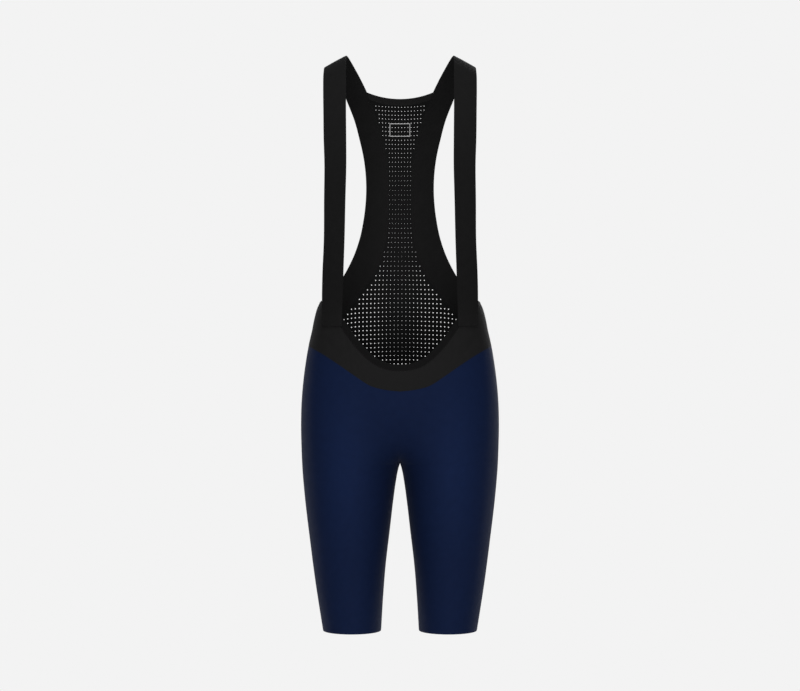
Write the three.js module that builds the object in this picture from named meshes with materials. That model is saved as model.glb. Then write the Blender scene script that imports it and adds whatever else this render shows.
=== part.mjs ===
// Cycling bib shorts, filled out as worn with no wearer. Millimetres, +Z up, the front faces -Y.
// The origin lies midway between the two straps where they cross the shoulders.
import * as THREE from 'three';

// Driving sizes
const SEAM_GAP = 0.3;
const SHORT_WALL = 1.5;
const WAIST_WALL = 1.5;
const TRIM_WALL = 2.0;
const STRAP_WALL = 1.5;
const MESH_WALL = 1.2;
const NECK_WALL = 1.8;
const HEM_Z = -849;
const CROTCH_Z = -598.5;
const FORK_TOP_FRONT_Z = -508;
const FORK_TOP_BACK_Z = -524;
const THIGH_TOP_Z = -430;
const THIGH_FOOT_Z = -650;
const THIGH_FROM = 0.2;
const THIGH_FULL = 0.5;
const GROOVE_ROUNDING = 22;
const INNER_THIGH_LENGTH = 90;
const INNER_THIGH_POWER = 2.5;
const SIDE_TOP_Z = -357;
const SIDE_SEAM_NAVY_Z = -422.5;
const SIDE_SEAM_NAVY_X = 137;
const BACK_NAVY_CENTRE_Z = -462;
const TRIM_WIDTH = 9.5;
const GIRTH_RADIUS = 110;
const NECK_CENTRE_Z = -47;
const NECK_HEM_HEIGHT = 9;
const NECK_HEM_STATION = 0.3;
const MESH_TOP_CENTRE_Z = NECK_CENTRE_Z - NECK_HEM_HEIGHT;
const MESH_SIDE_CENTRE_Z = -438;
const STRAP_CROWN = 0.5;

// How finely the cloth is cut into facets
const HALF_COLUMNS = 18;
const WAIST_ROWS = 8;
const UPPER_ROWS = 4;
const FORK_ROWS = 8;
const MESH_HALF_COLUMNS = 12;
const MESH_FOOT_ROWS = 3;
const STRAP_COLUMNS = 4;
const BASE_SECTIONS = 4;
const FREE_SECTIONS = 30;
const BACK_SECTIONS = 29;
const TRIM_FIRST_COLUMN = 8;
const CLOSING_ROUNDS = 30;
const CLOSING_SHARE = 0.7;
const AHEAD = 0.002;

// The general figure that the cloth is filled out to: a row for each level, with the half width, the
// depth in front of and behind the side seam, and how square the section is, where 2 is an ellipse.
const FIGURE = [
  { z: -20, half: 150, front: 60, back: 44, square: 2.2 },
  { z: -55, half: 152, front: 72, back: 62, square: 2.2 },
  { z: -100, half: 152, front: 82, back: 75, square: 2.2 },
  { z: -160, half: 148, front: 88, back: 82, square: 2.2 },
  { z: -250, half: 138, front: 82, back: 77, square: 2.3 },
  { z: -310, half: 127, front: 78, back: 69, square: 2.5 },
  { z: -340, half: 120.6, front: 77, back: 67.4, square: 2.7 },
  { z: -357, half: 120, front: 77, back: 67, square: 2.8 },
  { z: -366, half: 123.8, front: 77.4, back: 67.2, square: 2.8 },
  { z: -384, half: 128.7, front: 79, back: 69, square: 2.8 },
  { z: -400, half: 131.8, front: 81, back: 71.8, square: 2.7 },
  { z: -414, half: 135.1, front: 83, back: 75, square: 2.6 },
  { z: -444, half: 140.6, front: 88, back: 85, square: 2.5 },
  { z: -474, half: 144.6, front: 93, back: 94, square: 2.4 },
  { z: -504, half: 147.2, front: 95.5, back: 100.5, square: 2.3 },
  { z: -540, half: 148.2, front: 95, back: 103.5, square: 2.2 },
  { z: -575, half: 147.5, front: 91.5, back: 99, square: 2.1 },
  { z: -600, half: 146.5, front: 88, back: 92, square: 2 },
  { z: -654, half: 141.9, front: 81.5, back: 79, square: 2 },
  { z: -714, half: 134.7, front: 75, back: 70, square: 2 },
  { z: -774, half: 126.9, front: 67, back: 64, square: 2 },
  { z: HEM_Z, half: 115.2, front: 60, back: 60, square: 2 },
];

// Half of the gap between the legs, level by level
const LEG_GAP = [
  { z: -598.5, gap: 0 },
  { z: -609, gap: 3.3 },
  { z: -624, gap: 6.1 },
  { z: -654, gap: 10.3 },
  { z: -700, gap: 15.7 },
  { z: -750, gap: 21.6 },
  { z: -800, gap: 25.6 },
  { z: HEM_Z, gap: 28.5 },
];

// Levels of the legs below the fork
const LEG_LEVELS = [
  -602, -608, -617, -629, -643, -659, -676, -694, -712, -731, -751, -771, -791, -811, -830, HEM_Z,
];

// The seam between the black waist and the navy front, from the centre out
const WAIST_SEAM = [
  { x: 0, z: -489.5 },
  { x: 22, z: -487 },
  { x: 44, z: -481 },
  { x: 66, z: -467 },
  { x: 88, z: -452 },
  { x: 112, z: -436.5 },
  { x: SIDE_SEAM_NAVY_X, z: SIDE_SEAM_NAVY_Z },
];

// The upper edge of the waist panel, from the centre out, up under the strap and to the armhole
const OPENING_EDGE = [
  { x: 0, z: -459.5 },
  { x: 20, z: -457.5 },
  { x: 38, z: -450 },
  { x: 59, z: -432 },
  { x: 87, z: -396 },
  { x: 106, z: -368 },
  { x: 115, z: -359 },
  { x: 120, z: SIDE_TOP_Z },
];

// The strap on +X, the wearer's left, where it is sewn on the waist panel: its two edges, from its end up
const STRAP_BASE = [
  { outerX: 115, outerZ: -393.5, innerX: 85.6, innerZ: -393.5 },
  { outerX: 114.6, outerZ: -376, innerX: 85.2, innerZ: -376 },
];

// The same strap where it runs free, from the waist over the chest to the shoulder and down behind it
const STRAP_FREE = [
  { outerX: 115.6, outerY: -50, outerZ: -342, innerX: 84.7, innerY: -72.5, innerZ: -342 },
  { outerX: 114.6, outerY: -58, outerZ: -311, innerX: 83.7, innerY: -75, innerZ: -311 },
  { outerX: 112.3, outerY: -69, outerZ: -266, innerX: 82, innerY: -80, innerZ: -266 },
  { outerX: 111.6, outerY: -79, outerZ: -208, innerX: 80.5, innerY: -87, innerZ: -208 },
  { outerX: 110.9, outerY: -85, outerZ: -157, innerX: 79.1, innerY: -92, innerZ: -157 },
  { outerX: 112.1, outerY: -82, outerZ: -118, innerX: 79.3, innerY: -89, innerZ: -116 },
  { outerX: 112.9, outerY: -70.5, outerZ: -76.5, innerX: 79.9, innerY: -77.5, innerZ: -70.5 },
  { outerX: 113.8, outerY: -52, outerZ: -41.5, innerX: 80.4, innerY: -58, innerZ: -30.5 },
  { outerX: 114, outerY: -28, outerZ: -15.8, innerX: 80.8, innerY: -32, innerZ: 0.2 },
  { outerX: 111.8, outerY: 0, outerZ: -4.6, innerX: 80, innerY: 1, innerZ: 12.7 },
  { outerX: 99, outerY: 28, outerZ: -17.2, innerX: 67, innerY: 33, innerZ: -6.2 },
];

// The strap as it goes on down the back: its outer edge at the armhole, its inner edge at the mesh
const STRAP_BACK = [
  { outerX: 83, outerZ: -44, innerX: 50.5, innerZ: -37.5 },
  { outerX: 70, outerZ: -77, innerX: 37.5, innerZ: -71 },
  { outerX: 61.5, outerZ: -108, innerX: 27, innerZ: -104 },
  { outerX: 55, outerZ: -138, innerX: 20, innerZ: -137 },
  { outerX: 51.8, outerZ: -169, innerX: 17.8, innerZ: -169 },
  { outerX: 52, outerZ: -199, innerX: 17.6, innerZ: -202 },
  { outerX: 55.4, outerZ: -230, innerX: 18.6, innerZ: -238 },
  { outerX: 61.8, outerZ: -261, innerX: 24.5, innerZ: -276 },
  { outerX: 72.5, outerZ: -291, innerX: 38.5, innerZ: -314 },
  { outerX: 86.7, outerZ: -318, innerX: 61, innerZ: -345 },
  { outerX: 102, outerZ: -339, innerX: 87, innerZ: -378 },
  { outerX: 113, outerZ: -351, innerX: 112, innerZ: -393 },
  { outerX: 120, outerZ: SIDE_TOP_Z, innerX: 131.5, innerZ: -398 },
];

const COLOURS = {
  navy: 0x0e1a36,
  waistBlack: 0x1c1c1c,
  trimBlack: 0x101010,
  strapBlack: 0x161616,
  meshBlack: 0x181818,
};

const FRONT = -1;
const BACK = 1;

const mix = (a, b, t) => a + (b - a) * t;
const clamp01 = (t) => Math.min(1, Math.max(0, t));
const ease = (t) => t * t * (3 - 2 * t);
const steps = (count) => Array.from({ length: count + 1 }, (_, i) => i / count);

// A smooth curve through one column of a table, read at any value of its key column
function curve(rows, key, column) {
  const rising = rows[1][key] > rows[0][key] ? rows : [...rows].reverse();
  const at = rising.map((row) => row[key]);
  const value = rising.map((row) => row[column]);
  const rise = at.slice(1).map((end, i) => (value[i + 1] - value[i]) / (end - at[i]));
  const slope = at.map((_, i) => {
    if (i === 0) return rise[0];
    if (i === at.length - 1) return rise[i - 1];
    const before = at[i] - at[i - 1];
    const after = at[i + 1] - at[i];
    return (rise[i - 1] * after + rise[i] * before) / (before + after);
  });
  return (x) => {
    const inside = Math.min(at.at(-1), Math.max(at[0], x));
    const i = Math.max(0, Math.min(at.length - 2, at.findIndex((end) => end >= inside) - 1));
    const span = at[i + 1] - at[i];
    const t = (inside - at[i]) / span;
    const [t2, t3] = [t * t, t * t * t];
    return (2 * t3 - 3 * t2 + 1) * value[i] + (t3 - 2 * t2 + t) * span * slope[i]
      + (3 * t2 - 2 * t3) * value[i + 1] + (t3 - t2) * span * slope[i + 1];
  };
}

const figure = {
  half: curve(FIGURE, 'z', 'half'),
  front: curve(FIGURE, 'z', 'front'),
  back: curve(FIGURE, 'z', 'back'),
  square: curve(FIGURE, 'z', 'square'),
};
const legGap = curve(LEG_GAP, 'z', 'gap');
const gapAt = (z) => (z >= CROTCH_Z ? 0 : legGap(z));
const depthAt = (side, z) => (side === FRONT ? figure.front(z) : figure.back(z));

// How far down the fork a level is: 0 above it and 1 at the crotch
const downFork = (side, z) => {
  const top = side === FRONT ? FORK_TOP_FRONT_Z : FORK_TOP_BACK_Z;
  return clamp01((top - z) / (top - CROTCH_Z));
};

// How far the section has turned from one trunk (0) into two legs (1). At the centre it follows a round
// fork; over the thighs it eases in from higher up and out lower down.
function forking(side, x, z) {
  const centre = downFork(side, z) ** figure.square(z);
  const thigh = ease(clamp01((THIGH_TOP_Z - z) / (THIGH_TOP_Z - THIGH_FOOT_Z)));
  const off = clamp01((Math.abs(x) / figure.half(z) - THIGH_FROM) / (THIGH_FULL - THIGH_FROM));
  return mix(centre, thigh, ease(off));
}

// The distance from the middle plane, rounded off there so that the groove above the crotch is soft
function offMiddle(side, x, z) {
  const radius = GROOVE_ROUNDING * (1 - downFork(side, z));
  const far = Math.abs(x);
  return far >= 2 * radius ? far : far + radius * (1 - far / (2 * radius)) ** 2;
}

// The figure's section across one level: 0 at its middle and 1 on its outline, y left out. Just below
// the crotch the gap between the legs presses in only the inner thigh, and lower down the whole leg.
function across(side, x, z) {
  const half = figure.half(z);
  const gap = gapAt(z);
  const power = figure.square(z);
  const trunk = (Math.abs(x) / half) ** power;
  const far = offMiddle(side, x, z);
  const nearness = clamp01((half - far) / (half - gap));
  const reach = mix(INNER_THIGH_POWER, 1, ease(clamp01((CROTCH_Z - z) / INNER_THIGH_LENGTH)));
  const leg = Math.abs((far - gap * nearness ** reach) / (half / 2) - 1) ** power;
  return mix(trunk, leg, forking(side, x, z));
}

// The point of the figure's front or back at x and z
function onFigure(side, x, z) {
  const depth = depthAt(side, z) * Math.max(0, 1 - across(side, x, z)) ** (1 / figure.square(z));
  return new THREE.Vector3(x, side * depth, z);
}

// The outward direction there, from the gradient of the figure's implicit form
function outward(side, point) {
  const form = (x, y, z) => (Math.abs(y) / depthAt(side, z)) ** figure.square(z) + across(side, x, z);
  const h = 0.05;
  const { x, y, z } = point;
  return new THREE.Vector3(
    form(x + h, y, z) - form(x - h, y, z),
    form(x, y + h, z) - form(x, y - h, z),
    form(x, y, z + h) - form(x, y, z - h),
  ).normalize();
}

// A cloth point on the figure: its outer point, half a seam clear of the side seam, and its way out
function clothPoint(side, x, z, lift = 0) {
  const point = onFigure(side, x, z);
  const out = outward(side, point);
  point.addScaledVector(out, lift);
  point.y += side * SEAM_GAP / 2;
  return { point, out };
}

// Cloth point at an angle round the figure, 0 at the side seam and a right angle at the centre
const aroundFigure = (side, angle, z, sign) => clothPoint(side, sign * figure.half(z) * Math.cos(angle), z);

// The closed wall of a sheet. Each cell lists its corners anticlockwise as seen from outside, and the
// rim closes every edge that only one cell has.
function wall(vertices, cells, thickness) {
  const count = vertices.length;
  const places = [
    ...vertices.map(({ point }) => point),
    ...vertices.map(({ point, out }) => point.clone().addScaledVector(out, -thickness)),
  ];
  const faces = [];
  const quad = (a, b, c, d) => faces.push(a, b, c, a, c, d);
  const edges = new Map();
  for (const cell of cells) {
    const [a, b, c, d] = cell;
    quad(a, b, c, d);
    quad(a + count, d + count, c + count, b + count);
    cell.forEach((from, i) => edges.set(`${from}>${cell[(i + 1) % 4]}`, [from, cell[(i + 1) % 4]]));
  }
  for (const [from, to] of edges.values()) {
    if (!edges.has(`${to}>${from}`)) quad(to, from, from + count, to + count);
  }
  const geometry = new THREE.BufferGeometry();
  geometry.setAttribute('position', new THREE.Float32BufferAttribute(places.flatMap((p) => p.toArray()), 3));
  geometry.setIndex(faces);
  geometry.computeVertexNormals();
  return geometry;
}

// A cell from its corners top left, foot left, foot right and top right as seen from the front. The right
// half of the cloth starts one corner on, so that its facets mirror those of the left half.
function facingCell(corners, side, rightHalf) {
  const [first, ...rest] = corners;
  const mirrored = rightHalf ? [...rest, first] : corners;
  return side === FRONT ? mirrored : [...mirrored].reverse();
}

// Cells of a plain grid, rows from top to bottom and columns towards +X, outside towards the given side
function gridCells(rows, columns, side) {
  const cells = [];
  for (let r = 0; r < rows - 1; r += 1) {
    for (let c = 0; c < columns - 1; c += 1) {
      const at = r * columns + c;
      cells.push(facingCell([at, at + columns, at + columns + 1, at + 1], side, c >= (columns - 1) / 2));
    }
  }
  return cells;
}

const gridWall = (rows, side, thickness) =>
  wall(rows.flat(), gridCells(rows.length, rows[0].length, side), thickness);

// Signed columns from the left side seam (-1) over the centre (0) to the right side seam (+1)
const signedColumns = (half) => [
  ...steps(half).map((t) => ({ sign: -1, turn: t })),
  ...steps(half).reverse().slice(1).map((t) => ({ sign: 1, turn: t })),
];

// The height of an edge line, given by x, where a column of this turn crosses it: found by closing in
function lineAt(line, turn) {
  let z = line(0);
  for (let round = 0; round < CLOSING_ROUNDS; round += 1) {
    z = mix(z, line(figure.half(z) * Math.cos(turn * Math.PI / 2)), CLOSING_SHARE);
  }
  return z;
}

const waistSeam = curve(WAIST_SEAM, 'x', 'z');
const openingEdge = curve(OPENING_EDGE, 'x', 'z');
const backSeam = (x) => mix(BACK_NAVY_CENTRE_Z, SIDE_SEAM_NAVY_Z, ease(clamp01(x / SIDE_SEAM_NAVY_X)));

// The navy front or back: one trunk that forks into two legs
function shortPanel(side, topLine) {
  const forkTop = side === FRONT ? FORK_TOP_FRONT_Z : FORK_TOP_BACK_Z;
  const forkLevels = steps(FORK_ROWS).slice(1).map((t) => mix(forkTop, CROTCH_Z, Math.sin(t * Math.PI / 2)));
  const levels = [...forkLevels, ...LEG_LEVELS];
  const crotchRow = UPPER_ROWS + FORK_ROWS;
  const columns = signedColumns(HALF_COLUMNS);
  const vertices = [];
  const index = new Map();
  const levelOf = (row, turn) => {
    if (row > UPPER_ROWS) return levels[row - UPPER_ROWS - 1];
    return mix(lineAt(topLine, turn) - SEAM_GAP / 2, forkTop, row / UPPER_ROWS);
  };
  const place = (row, column, sign) => {
    const centre = column === HALF_COLUMNS;
    const key = centre && row > crotchRow ? `${row}:${column}:${sign}` : `${row}:${column}`;
    if (!index.has(key)) {
      const { turn } = columns[column];
      const z = levelOf(row, turn);
      const gap = gapAt(z);
      const trunk = Math.cos(turn * Math.PI / 2);
      const leg = (1 + Math.cos(turn * Math.PI)) / 2;
      const x = gap + (figure.half(z) - gap) * mix(trunk, leg, ease(downFork(side, z)));
      index.set(key, vertices.push(clothPoint(side, sign * x, z)) - 1);
    }
    return index.get(key);
  };
  const cells = [];
  for (let row = 0; row < UPPER_ROWS + levels.length; row += 1) {
    for (let column = 0; column < columns.length - 1; column += 1) {
      const sign = column < HALF_COLUMNS ? -1 : 1;
      const corners = [
        place(row, column, sign),
        place(row + 1, column, sign),
        place(row + 1, column + 1, sign),
        place(row, column + 1, sign),
      ];
      cells.push(facingCell(corners, side, sign > 0));
    }
  }
  return wall(vertices, cells, SHORT_WALL);
}

// The black waist between the opening's edge and the navy front
function waistPanel() {
  const columns = signedColumns(HALF_COLUMNS);
  const rows = steps(WAIST_ROWS).map((down) => columns.map(({ sign, turn }) => {
    const top = lineAt(openingEdge, turn);
    const foot = lineAt(waistSeam, turn) + SEAM_GAP / 2;
    return aroundFigure(FRONT, turn * Math.PI / 2, mix(top, foot, down), sign);
  }));
  return gridWall(rows, FRONT, WAIST_WALL);
}

// The elastic trim along the front opening: its lower edge on the panel's, its upper edge one width off
function openingTrim() {
  const columns = signedColumns(HALF_COLUMNS).slice(TRIM_FIRST_COLUMN, -TRIM_FIRST_COLUMN);
  const rows = [1, 0].map((up) => columns.map(({ sign, turn }) => {
    const z = lineAt(openingEdge, turn);
    const x = figure.half(z) * Math.cos(turn * Math.PI / 2);
    const slope = (openingEdge(x + 1) - openingEdge(Math.max(0, x - 1))) / (x + 1 - Math.max(0, x - 1));
    const away = mix(SEAM_GAP, TRIM_WIDTH, up) / Math.hypot(slope, 1);
    return clothPoint(FRONT, sign * (x - slope * away * Math.min(1, x)), z + away);
  }));
  return gridWall(rows, FRONT, TRIM_WALL);
}

// The strap's edges on the figure's back as angles and levels, so that they run smoothly to the side seam
const angleOf = (x, z) => Math.acos(Math.min(1, x / figure.half(z)));
const STRAP_BACK_ANGLES = STRAP_BACK.map((row, station) => ({
  station,
  outer: angleOf(row.outerX, row.outerZ),
  outerZ: row.outerZ,
  inner: station === STRAP_BACK.length - 1 ? 0 : angleOf(row.innerX, row.innerZ),
  innerZ: row.innerZ,
}));
STRAP_BACK_ANGLES.at(-1).outer = 0;
const backStrap = {
  outer: curve(STRAP_BACK_ANGLES, 'station', 'outer'),
  outerZ: curve(STRAP_BACK_ANGLES, 'station', 'outerZ'),
  inner: curve(STRAP_BACK_ANGLES, 'station', 'inner'),
  innerZ: curve(STRAP_BACK_ANGLES, 'station', 'innerZ'),
};
// One cross-section of the strap on the back, from its outer edge to its inner edge
const backSection = (station, sign) => steps(STRAP_COLUMNS).map((t) => {
  const z = mix(backStrap.outerZ(station), backStrap.innerZ(station), t);
  const angle = mix(backStrap.outer(station), backStrap.inner(station), t);
  return aroundFigure(BACK, angle, z, sign);
});

// Stations of the strap on the back, evenly spaced along its middle line
function evenBackStations(count) {
  const fine = steps(count * 8).map((t) => t * (STRAP_BACK.length - 1));
  const middle = fine.map((station) => backSection(station, 1)[STRAP_COLUMNS / 2].point);
  const along = middle.map((_, i) => (i ? middle[i].distanceTo(middle[i - 1]) : 0));
  const reached = along.map(((sum) => (length) => (sum += length))(0));
  return steps(count).map((t) => {
    const length = t * reached.at(-1);
    const i = Math.max(1, reached.findIndex((far) => far >= length - 1e-9));
    return mix(fine[i - 1], fine[i], clamp01((length - reached[i - 1]) / (reached[i] - reached[i - 1])));
  });
}
const backStations = evenBackStations(BACK_SECTIONS);

// One cross-section of the strap's sewn end, lifted off the waist panel
const baseSection = (row, sign) => steps(STRAP_COLUMNS).map((t) => {
  const x = mix(row.outerX, row.innerX, t);
  const z = mix(row.outerZ, row.innerZ, t);
  return clothPoint(FRONT, sign * x, z, STRAP_WALL + SEAM_GAP);
});

// Cross-sections of the free strap, on smooth curves through its stations and the ones it meets
function freeSections(sign) {
  const before = STRAP_BASE.map((row) => baseSection(row, 1).map(({ point }) => point));
  const behind = [0, 1].map((station) => backSection(station, 1).map(({ point }) => point));
  const free = STRAP_FREE.map((row) => {
    const outer = new THREE.Vector3(row.outerX, row.outerY, row.outerZ);
    const inner = new THREE.Vector3(row.innerX, row.innerY, row.innerZ);
    return steps(STRAP_COLUMNS).map((t) => outer.clone().lerp(inner, t));
  });
  const stations = [...before, ...free, ...behind];
  const lines = steps(STRAP_COLUMNS).map((_, column) =>
    new THREE.CatmullRomCurve3(stations.map((section) => section[column]), false, 'centripetal'));
  const first = (before.length - 1) / (stations.length - 1);
  const last = (stations.length - 2) / (stations.length - 1);
  const middle = STRAP_COLUMNS / 2;
  return steps(FREE_SECTIONS).slice(1, -1).map((t) => {
    const section = lines.map((line) => line.getPoint(mix(first, last, t)));
    const ahead = lines[middle].getPoint(mix(first, last, t) + AHEAD);
    const over = section.at(-1).clone().sub(section[0]);
    const out = ahead.sub(section[middle]).cross(over).normalize();
    return section.map((point, column) => {
      const bulge = 1 - (column / middle - 1) ** 2;
      point.addScaledVector(out, STRAP_CROWN * bulge * Math.sqrt(Math.sin(Math.PI * t)));
      point.x *= sign;
      return { point };
    });
  });
}

// A strap: sewn on the waist panel, over the shoulder and down the back's edge to the side seam. Its wall
// lies inside its outer face, and where it runs free the way out comes from the face itself.
function strap(sign) {
  const base = steps(BASE_SECTIONS).map((t) => {
    const row = Object.fromEntries(Object.keys(STRAP_BASE[0])
      .map((key) => [key, mix(STRAP_BASE[0][key], STRAP_BASE[1][key], t)]));
    return baseSection(row, sign);
  });
  const back = backStations.map((station) => backSection(station, sign));
  const sections = [...base, ...freeSections(sign), ...back];
  const rows = sections.map((section, r) => section.map(({ point, out }, c) => {
    if (out) return { point, out };
    const along = sections[r + 1][c].point.clone().sub(sections[r - 1][c].point);
    const over = section[Math.min(c + 1, STRAP_COLUMNS)].point.clone().sub(section[Math.max(c - 1, 0)].point);
    return { point, out: along.cross(over).multiplyScalar(sign).normalize() };
  }));
  const cells = gridCells(rows.length, STRAP_COLUMNS + 1, BACK);
  return wall(rows.flat(), sign < 0 ? cells : cells.map((cell) => [...cell].reverse()), STRAP_WALL);
}

// The mesh's edge beside the strap at a station, one seam gap further in, as an angle and a level
function meshEdge(station) {
  const last = STRAP_BACK.length - 1;
  const at = (s) => new THREE.Vector2(backStrap.inner(s) * GIRTH_RADIUS, backStrap.innerZ(s));
  const along = at(Math.min(station + 0.05, last)).sub(at(Math.max(station - 0.05, 0))).normalize();
  if (station === last) along.set(-1, 0);
  return {
    angle: backStrap.inner(station) - along.y * SEAM_GAP / GIRTH_RADIUS,
    z: backStrap.innerZ(station) + along.x * SEAM_GAP,
  };
}

// A row of cloth on the back between two mirrored edge points, sagging to its own height at the centre
function backRow(edge, centreZ) {
  return signedColumns(MESH_HALF_COLUMNS).map(({ sign, turn }) => {
    const z = mix(edge.z, centreZ, 1 - (1 - turn) ** 2);
    return aroundFigure(BACK, mix(edge.angle, Math.PI / 2, turn), z, sign);
  });
}

// The turned hem across the neckline of the back
function neckHem() {
  const foot = meshEdge(NECK_HEM_STATION);
  const rows = [
    backRow(meshEdge(0), NECK_CENTRE_Z),
    backRow({ angle: foot.angle, z: foot.z + SEAM_GAP }, MESH_TOP_CENTRE_Z),
  ];
  return gridWall(rows, BACK, NECK_WALL);
}

// The mesh back, from the neck hem to the navy back
function backMesh() {
  const last = STRAP_BACK.length - 1;
  const stations = [NECK_HEM_STATION, ...backStations.filter((station) => station > NECK_HEM_STATION + 0.2)];
  const beside = stations.map((station) => {
    const down = (station - NECK_HEM_STATION) / (last - NECK_HEM_STATION);
    return backRow(meshEdge(station), mix(MESH_TOP_CENTRE_Z - SEAM_GAP, MESH_SIDE_CENTRE_Z, down));
  });
  const corner = meshEdge(last);
  const foot = steps(MESH_FOOT_ROWS).slice(1).map((t) => signedColumns(MESH_HALF_COLUMNS).map(({ sign, turn }) => {
    const from = mix(corner.z, MESH_SIDE_CENTRE_Z, 1 - (1 - turn) ** 2);
    const to = lineAt(backSeam, turn) + SEAM_GAP / 2;
    return aroundFigure(BACK, turn * Math.PI / 2, mix(from, to, t), sign);
  }));
  return gridWall([...beside, ...foot], BACK, MESH_WALL);
}

function piece(name, geometry, colour) {
  const mesh = new THREE.Mesh(geometry, new THREE.MeshStandardMaterial({ color: colour, roughness: 0.8 }));
  mesh.name = name;
  return mesh;
}

const bibShorts = new THREE.Group();
bibShorts.name = 'bib_shorts';
bibShorts.add(
  piece('front', shortPanel(FRONT, waistSeam), COLOURS.navy),
  piece('back', shortPanel(BACK, backSeam), COLOURS.navy),
  piece('waist_front', waistPanel(), COLOURS.waistBlack),
  piece('front_trim', openingTrim(), COLOURS.trimBlack),
  piece('strap_right', strap(-1), COLOURS.strapBlack),
  piece('strap_left', strap(1), COLOURS.strapBlack),
  piece('back_mesh', backMesh(), COLOURS.meshBlack),
  piece('neck_hem', neckHem(), COLOURS.trimBlack),
);

export default bibShorts;
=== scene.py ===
import logging
import math
from dataclasses import dataclass, field
from enum import Enum

import bpy
import numpy as np
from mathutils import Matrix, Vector
from mathutils.geometry import delaunay_2d_cdt


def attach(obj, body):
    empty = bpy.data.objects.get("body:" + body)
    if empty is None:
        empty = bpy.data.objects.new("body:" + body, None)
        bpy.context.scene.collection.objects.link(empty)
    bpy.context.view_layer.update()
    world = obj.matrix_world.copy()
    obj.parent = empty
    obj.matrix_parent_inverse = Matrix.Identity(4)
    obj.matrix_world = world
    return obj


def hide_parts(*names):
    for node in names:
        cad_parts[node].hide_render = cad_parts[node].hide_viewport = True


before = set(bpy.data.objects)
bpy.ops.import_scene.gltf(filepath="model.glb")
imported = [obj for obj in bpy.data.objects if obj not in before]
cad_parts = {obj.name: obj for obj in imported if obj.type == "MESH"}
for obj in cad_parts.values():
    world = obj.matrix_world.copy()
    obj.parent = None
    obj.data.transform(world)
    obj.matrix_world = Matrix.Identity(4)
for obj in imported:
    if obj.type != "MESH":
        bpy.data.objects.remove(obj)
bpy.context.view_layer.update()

# Cycling bib shorts, filled out as worn with no wearer. Sizes are millimetres until a mesh is made.
# +Z is up, the front faces -Y, and the origin lies midway between the straps on the shoulders.

LOG = logging.getLogger("bib_shorts")
MM = 0.001
BODY = "root"
CLOTH_MAP = "cloth"
# The attribute that holds the painted highlight and painted shade of the navy panels
PAINTED_LIGHT_MAP = "stretch"
SEAM_GAP = 0.04

# The general figure: level, half width, depth in front, depth behind, squareness (2 is an ellipse)
FIGURE_LEVELS = (
    (-20, 150, 60, 44, 2.2), (-55, 152, 72, 62, 2.2), (-100, 152, 82, 75, 2.2), (-160, 148, 88, 82, 2.2),
    (-250, 138, 82, 77, 2.3), (-310, 127, 78, 69, 2.5), (-340, 120.6, 77, 67.4, 2.7), (-357, 120, 77, 67, 2.8),
    (-366, 123.8, 77.4, 67.2, 2.8), (-384, 128.7, 79, 69, 2.8), (-400, 131.8, 81, 71.8, 2.7),
    (-414, 135.1, 83, 75, 2.6), (-444, 140.6, 88, 85, 2.5), (-474, 144.6, 93, 94, 2.4),
    (-504, 147.2, 95.5, 100.5, 2.3), (-540, 148.2, 95, 103.5, 2.2), (-575, 147.5, 91.5, 99, 2.1),
    (-600, 146.5, 88, 92, 2), (-654, 141.9, 81.5, 79, 2), (-714, 134.7, 75, 70, 2),
    (-774, 126.9, 67, 64, 2), (-849, 115.2, 60, 60, 2),
)
# Half of the gap between the legs: level, gap
LEG_GAP = (
    (-598.5, 0), (-609, 3.3), (-624, 6.1), (-654, 10.3), (-700, 15.7), (-750, 21.6), (-800, 25.6), (-849, 28.5),
)
HEM_Z = -849.0
SIDE_TOP_Z = -357.0
SIDE_NAVY_Z = -422.5
SIDE_NAVY_X = 137.0
BACK_NAVY_CENTRE_Z = -462.0
NECK_CENTRE_Z = -47.0
NECK_HEM_HEIGHT = 9.0
NECK_HEM_STATION = 0.3
# The seam between the black waist and the navy front, and the waist's upper edge: x, level
WAIST_SEAM = ((0, -489.5), (22, -487), (44, -481), (66, -467), (88, -452), (112, -436.5), (137, -422.5))
OPENING_EDGE = (
    (0, -459.5), (20, -457.5), (38, -450), (59, -432), (87, -396), (106, -368), (115, -359), (120, -357),
)
# The strap where it is sewn on the waist: outer x, outer level, inner x, inner level
STRAP_BASE = ((115, -393.5, 85.6, -393.5), (114.6, -376, 85.2, -376))
# The strap where it runs free: outer x, y, z, inner x, y, z
STRAP_FREE = (
    (115.6, -50, -342, 84.7, -72.5, -342), (114.6, -58, -311, 83.7, -75, -311),
    (112.3, -69, -266, 82, -80, -266), (111.6, -79, -208, 80.5, -87, -208),
    (110.9, -85, -157, 79.1, -92, -157), (112.1, -82, -118, 79.3, -89, -116),
    (112.9, -70.5, -76.5, 79.9, -77.5, -70.5), (113.8, -52, -41.5, 80.4, -58, -30.5),
    (114, -28, -15.8, 80.8, -32, 0.2), (111.8, 0, -4.6, 80, 1, 12.7), (99, 28, -17.2, 67, 33, -6.2),
)
# The strap down the back: outer x, outer level, inner x, inner level
STRAP_BACK = (
    (83, -44, 50.5, -37.5), (70, -77, 37.5, -71), (61.5, -108, 27, -104), (55, -138, 20, -137),
    (51.8, -169, 17.8, -169), (52, -199, 17.6, -202), (55.4, -230, 18.6, -238), (61.8, -261, 24.5, -276),
    (72.5, -291, 38.5, -314), (86.7, -318, 61, -345), (102, -339, 87, -378), (113, -351, 112, -393),
    (120, -357, 131.5, -398),
)


class Side(Enum):
    """The half of the garment in front of or behind the side seams."""

    FRONT = -1
    BACK = 1


class Weave(Enum):
    """How a cloth is made up, which decides its relief."""

    JERSEY = "jersey"
    RIBBED = "ribbed"
    WOVEN = "woven"
    EYELET = "eyelet"
    THREAD = "thread"
    PRINT = "print"


def mix(start: np.ndarray | float, end: np.ndarray | float, share: np.ndarray | float) -> np.ndarray | float:
    """Value a share of the way from start to end."""
    return start + (end - start) * share


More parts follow.
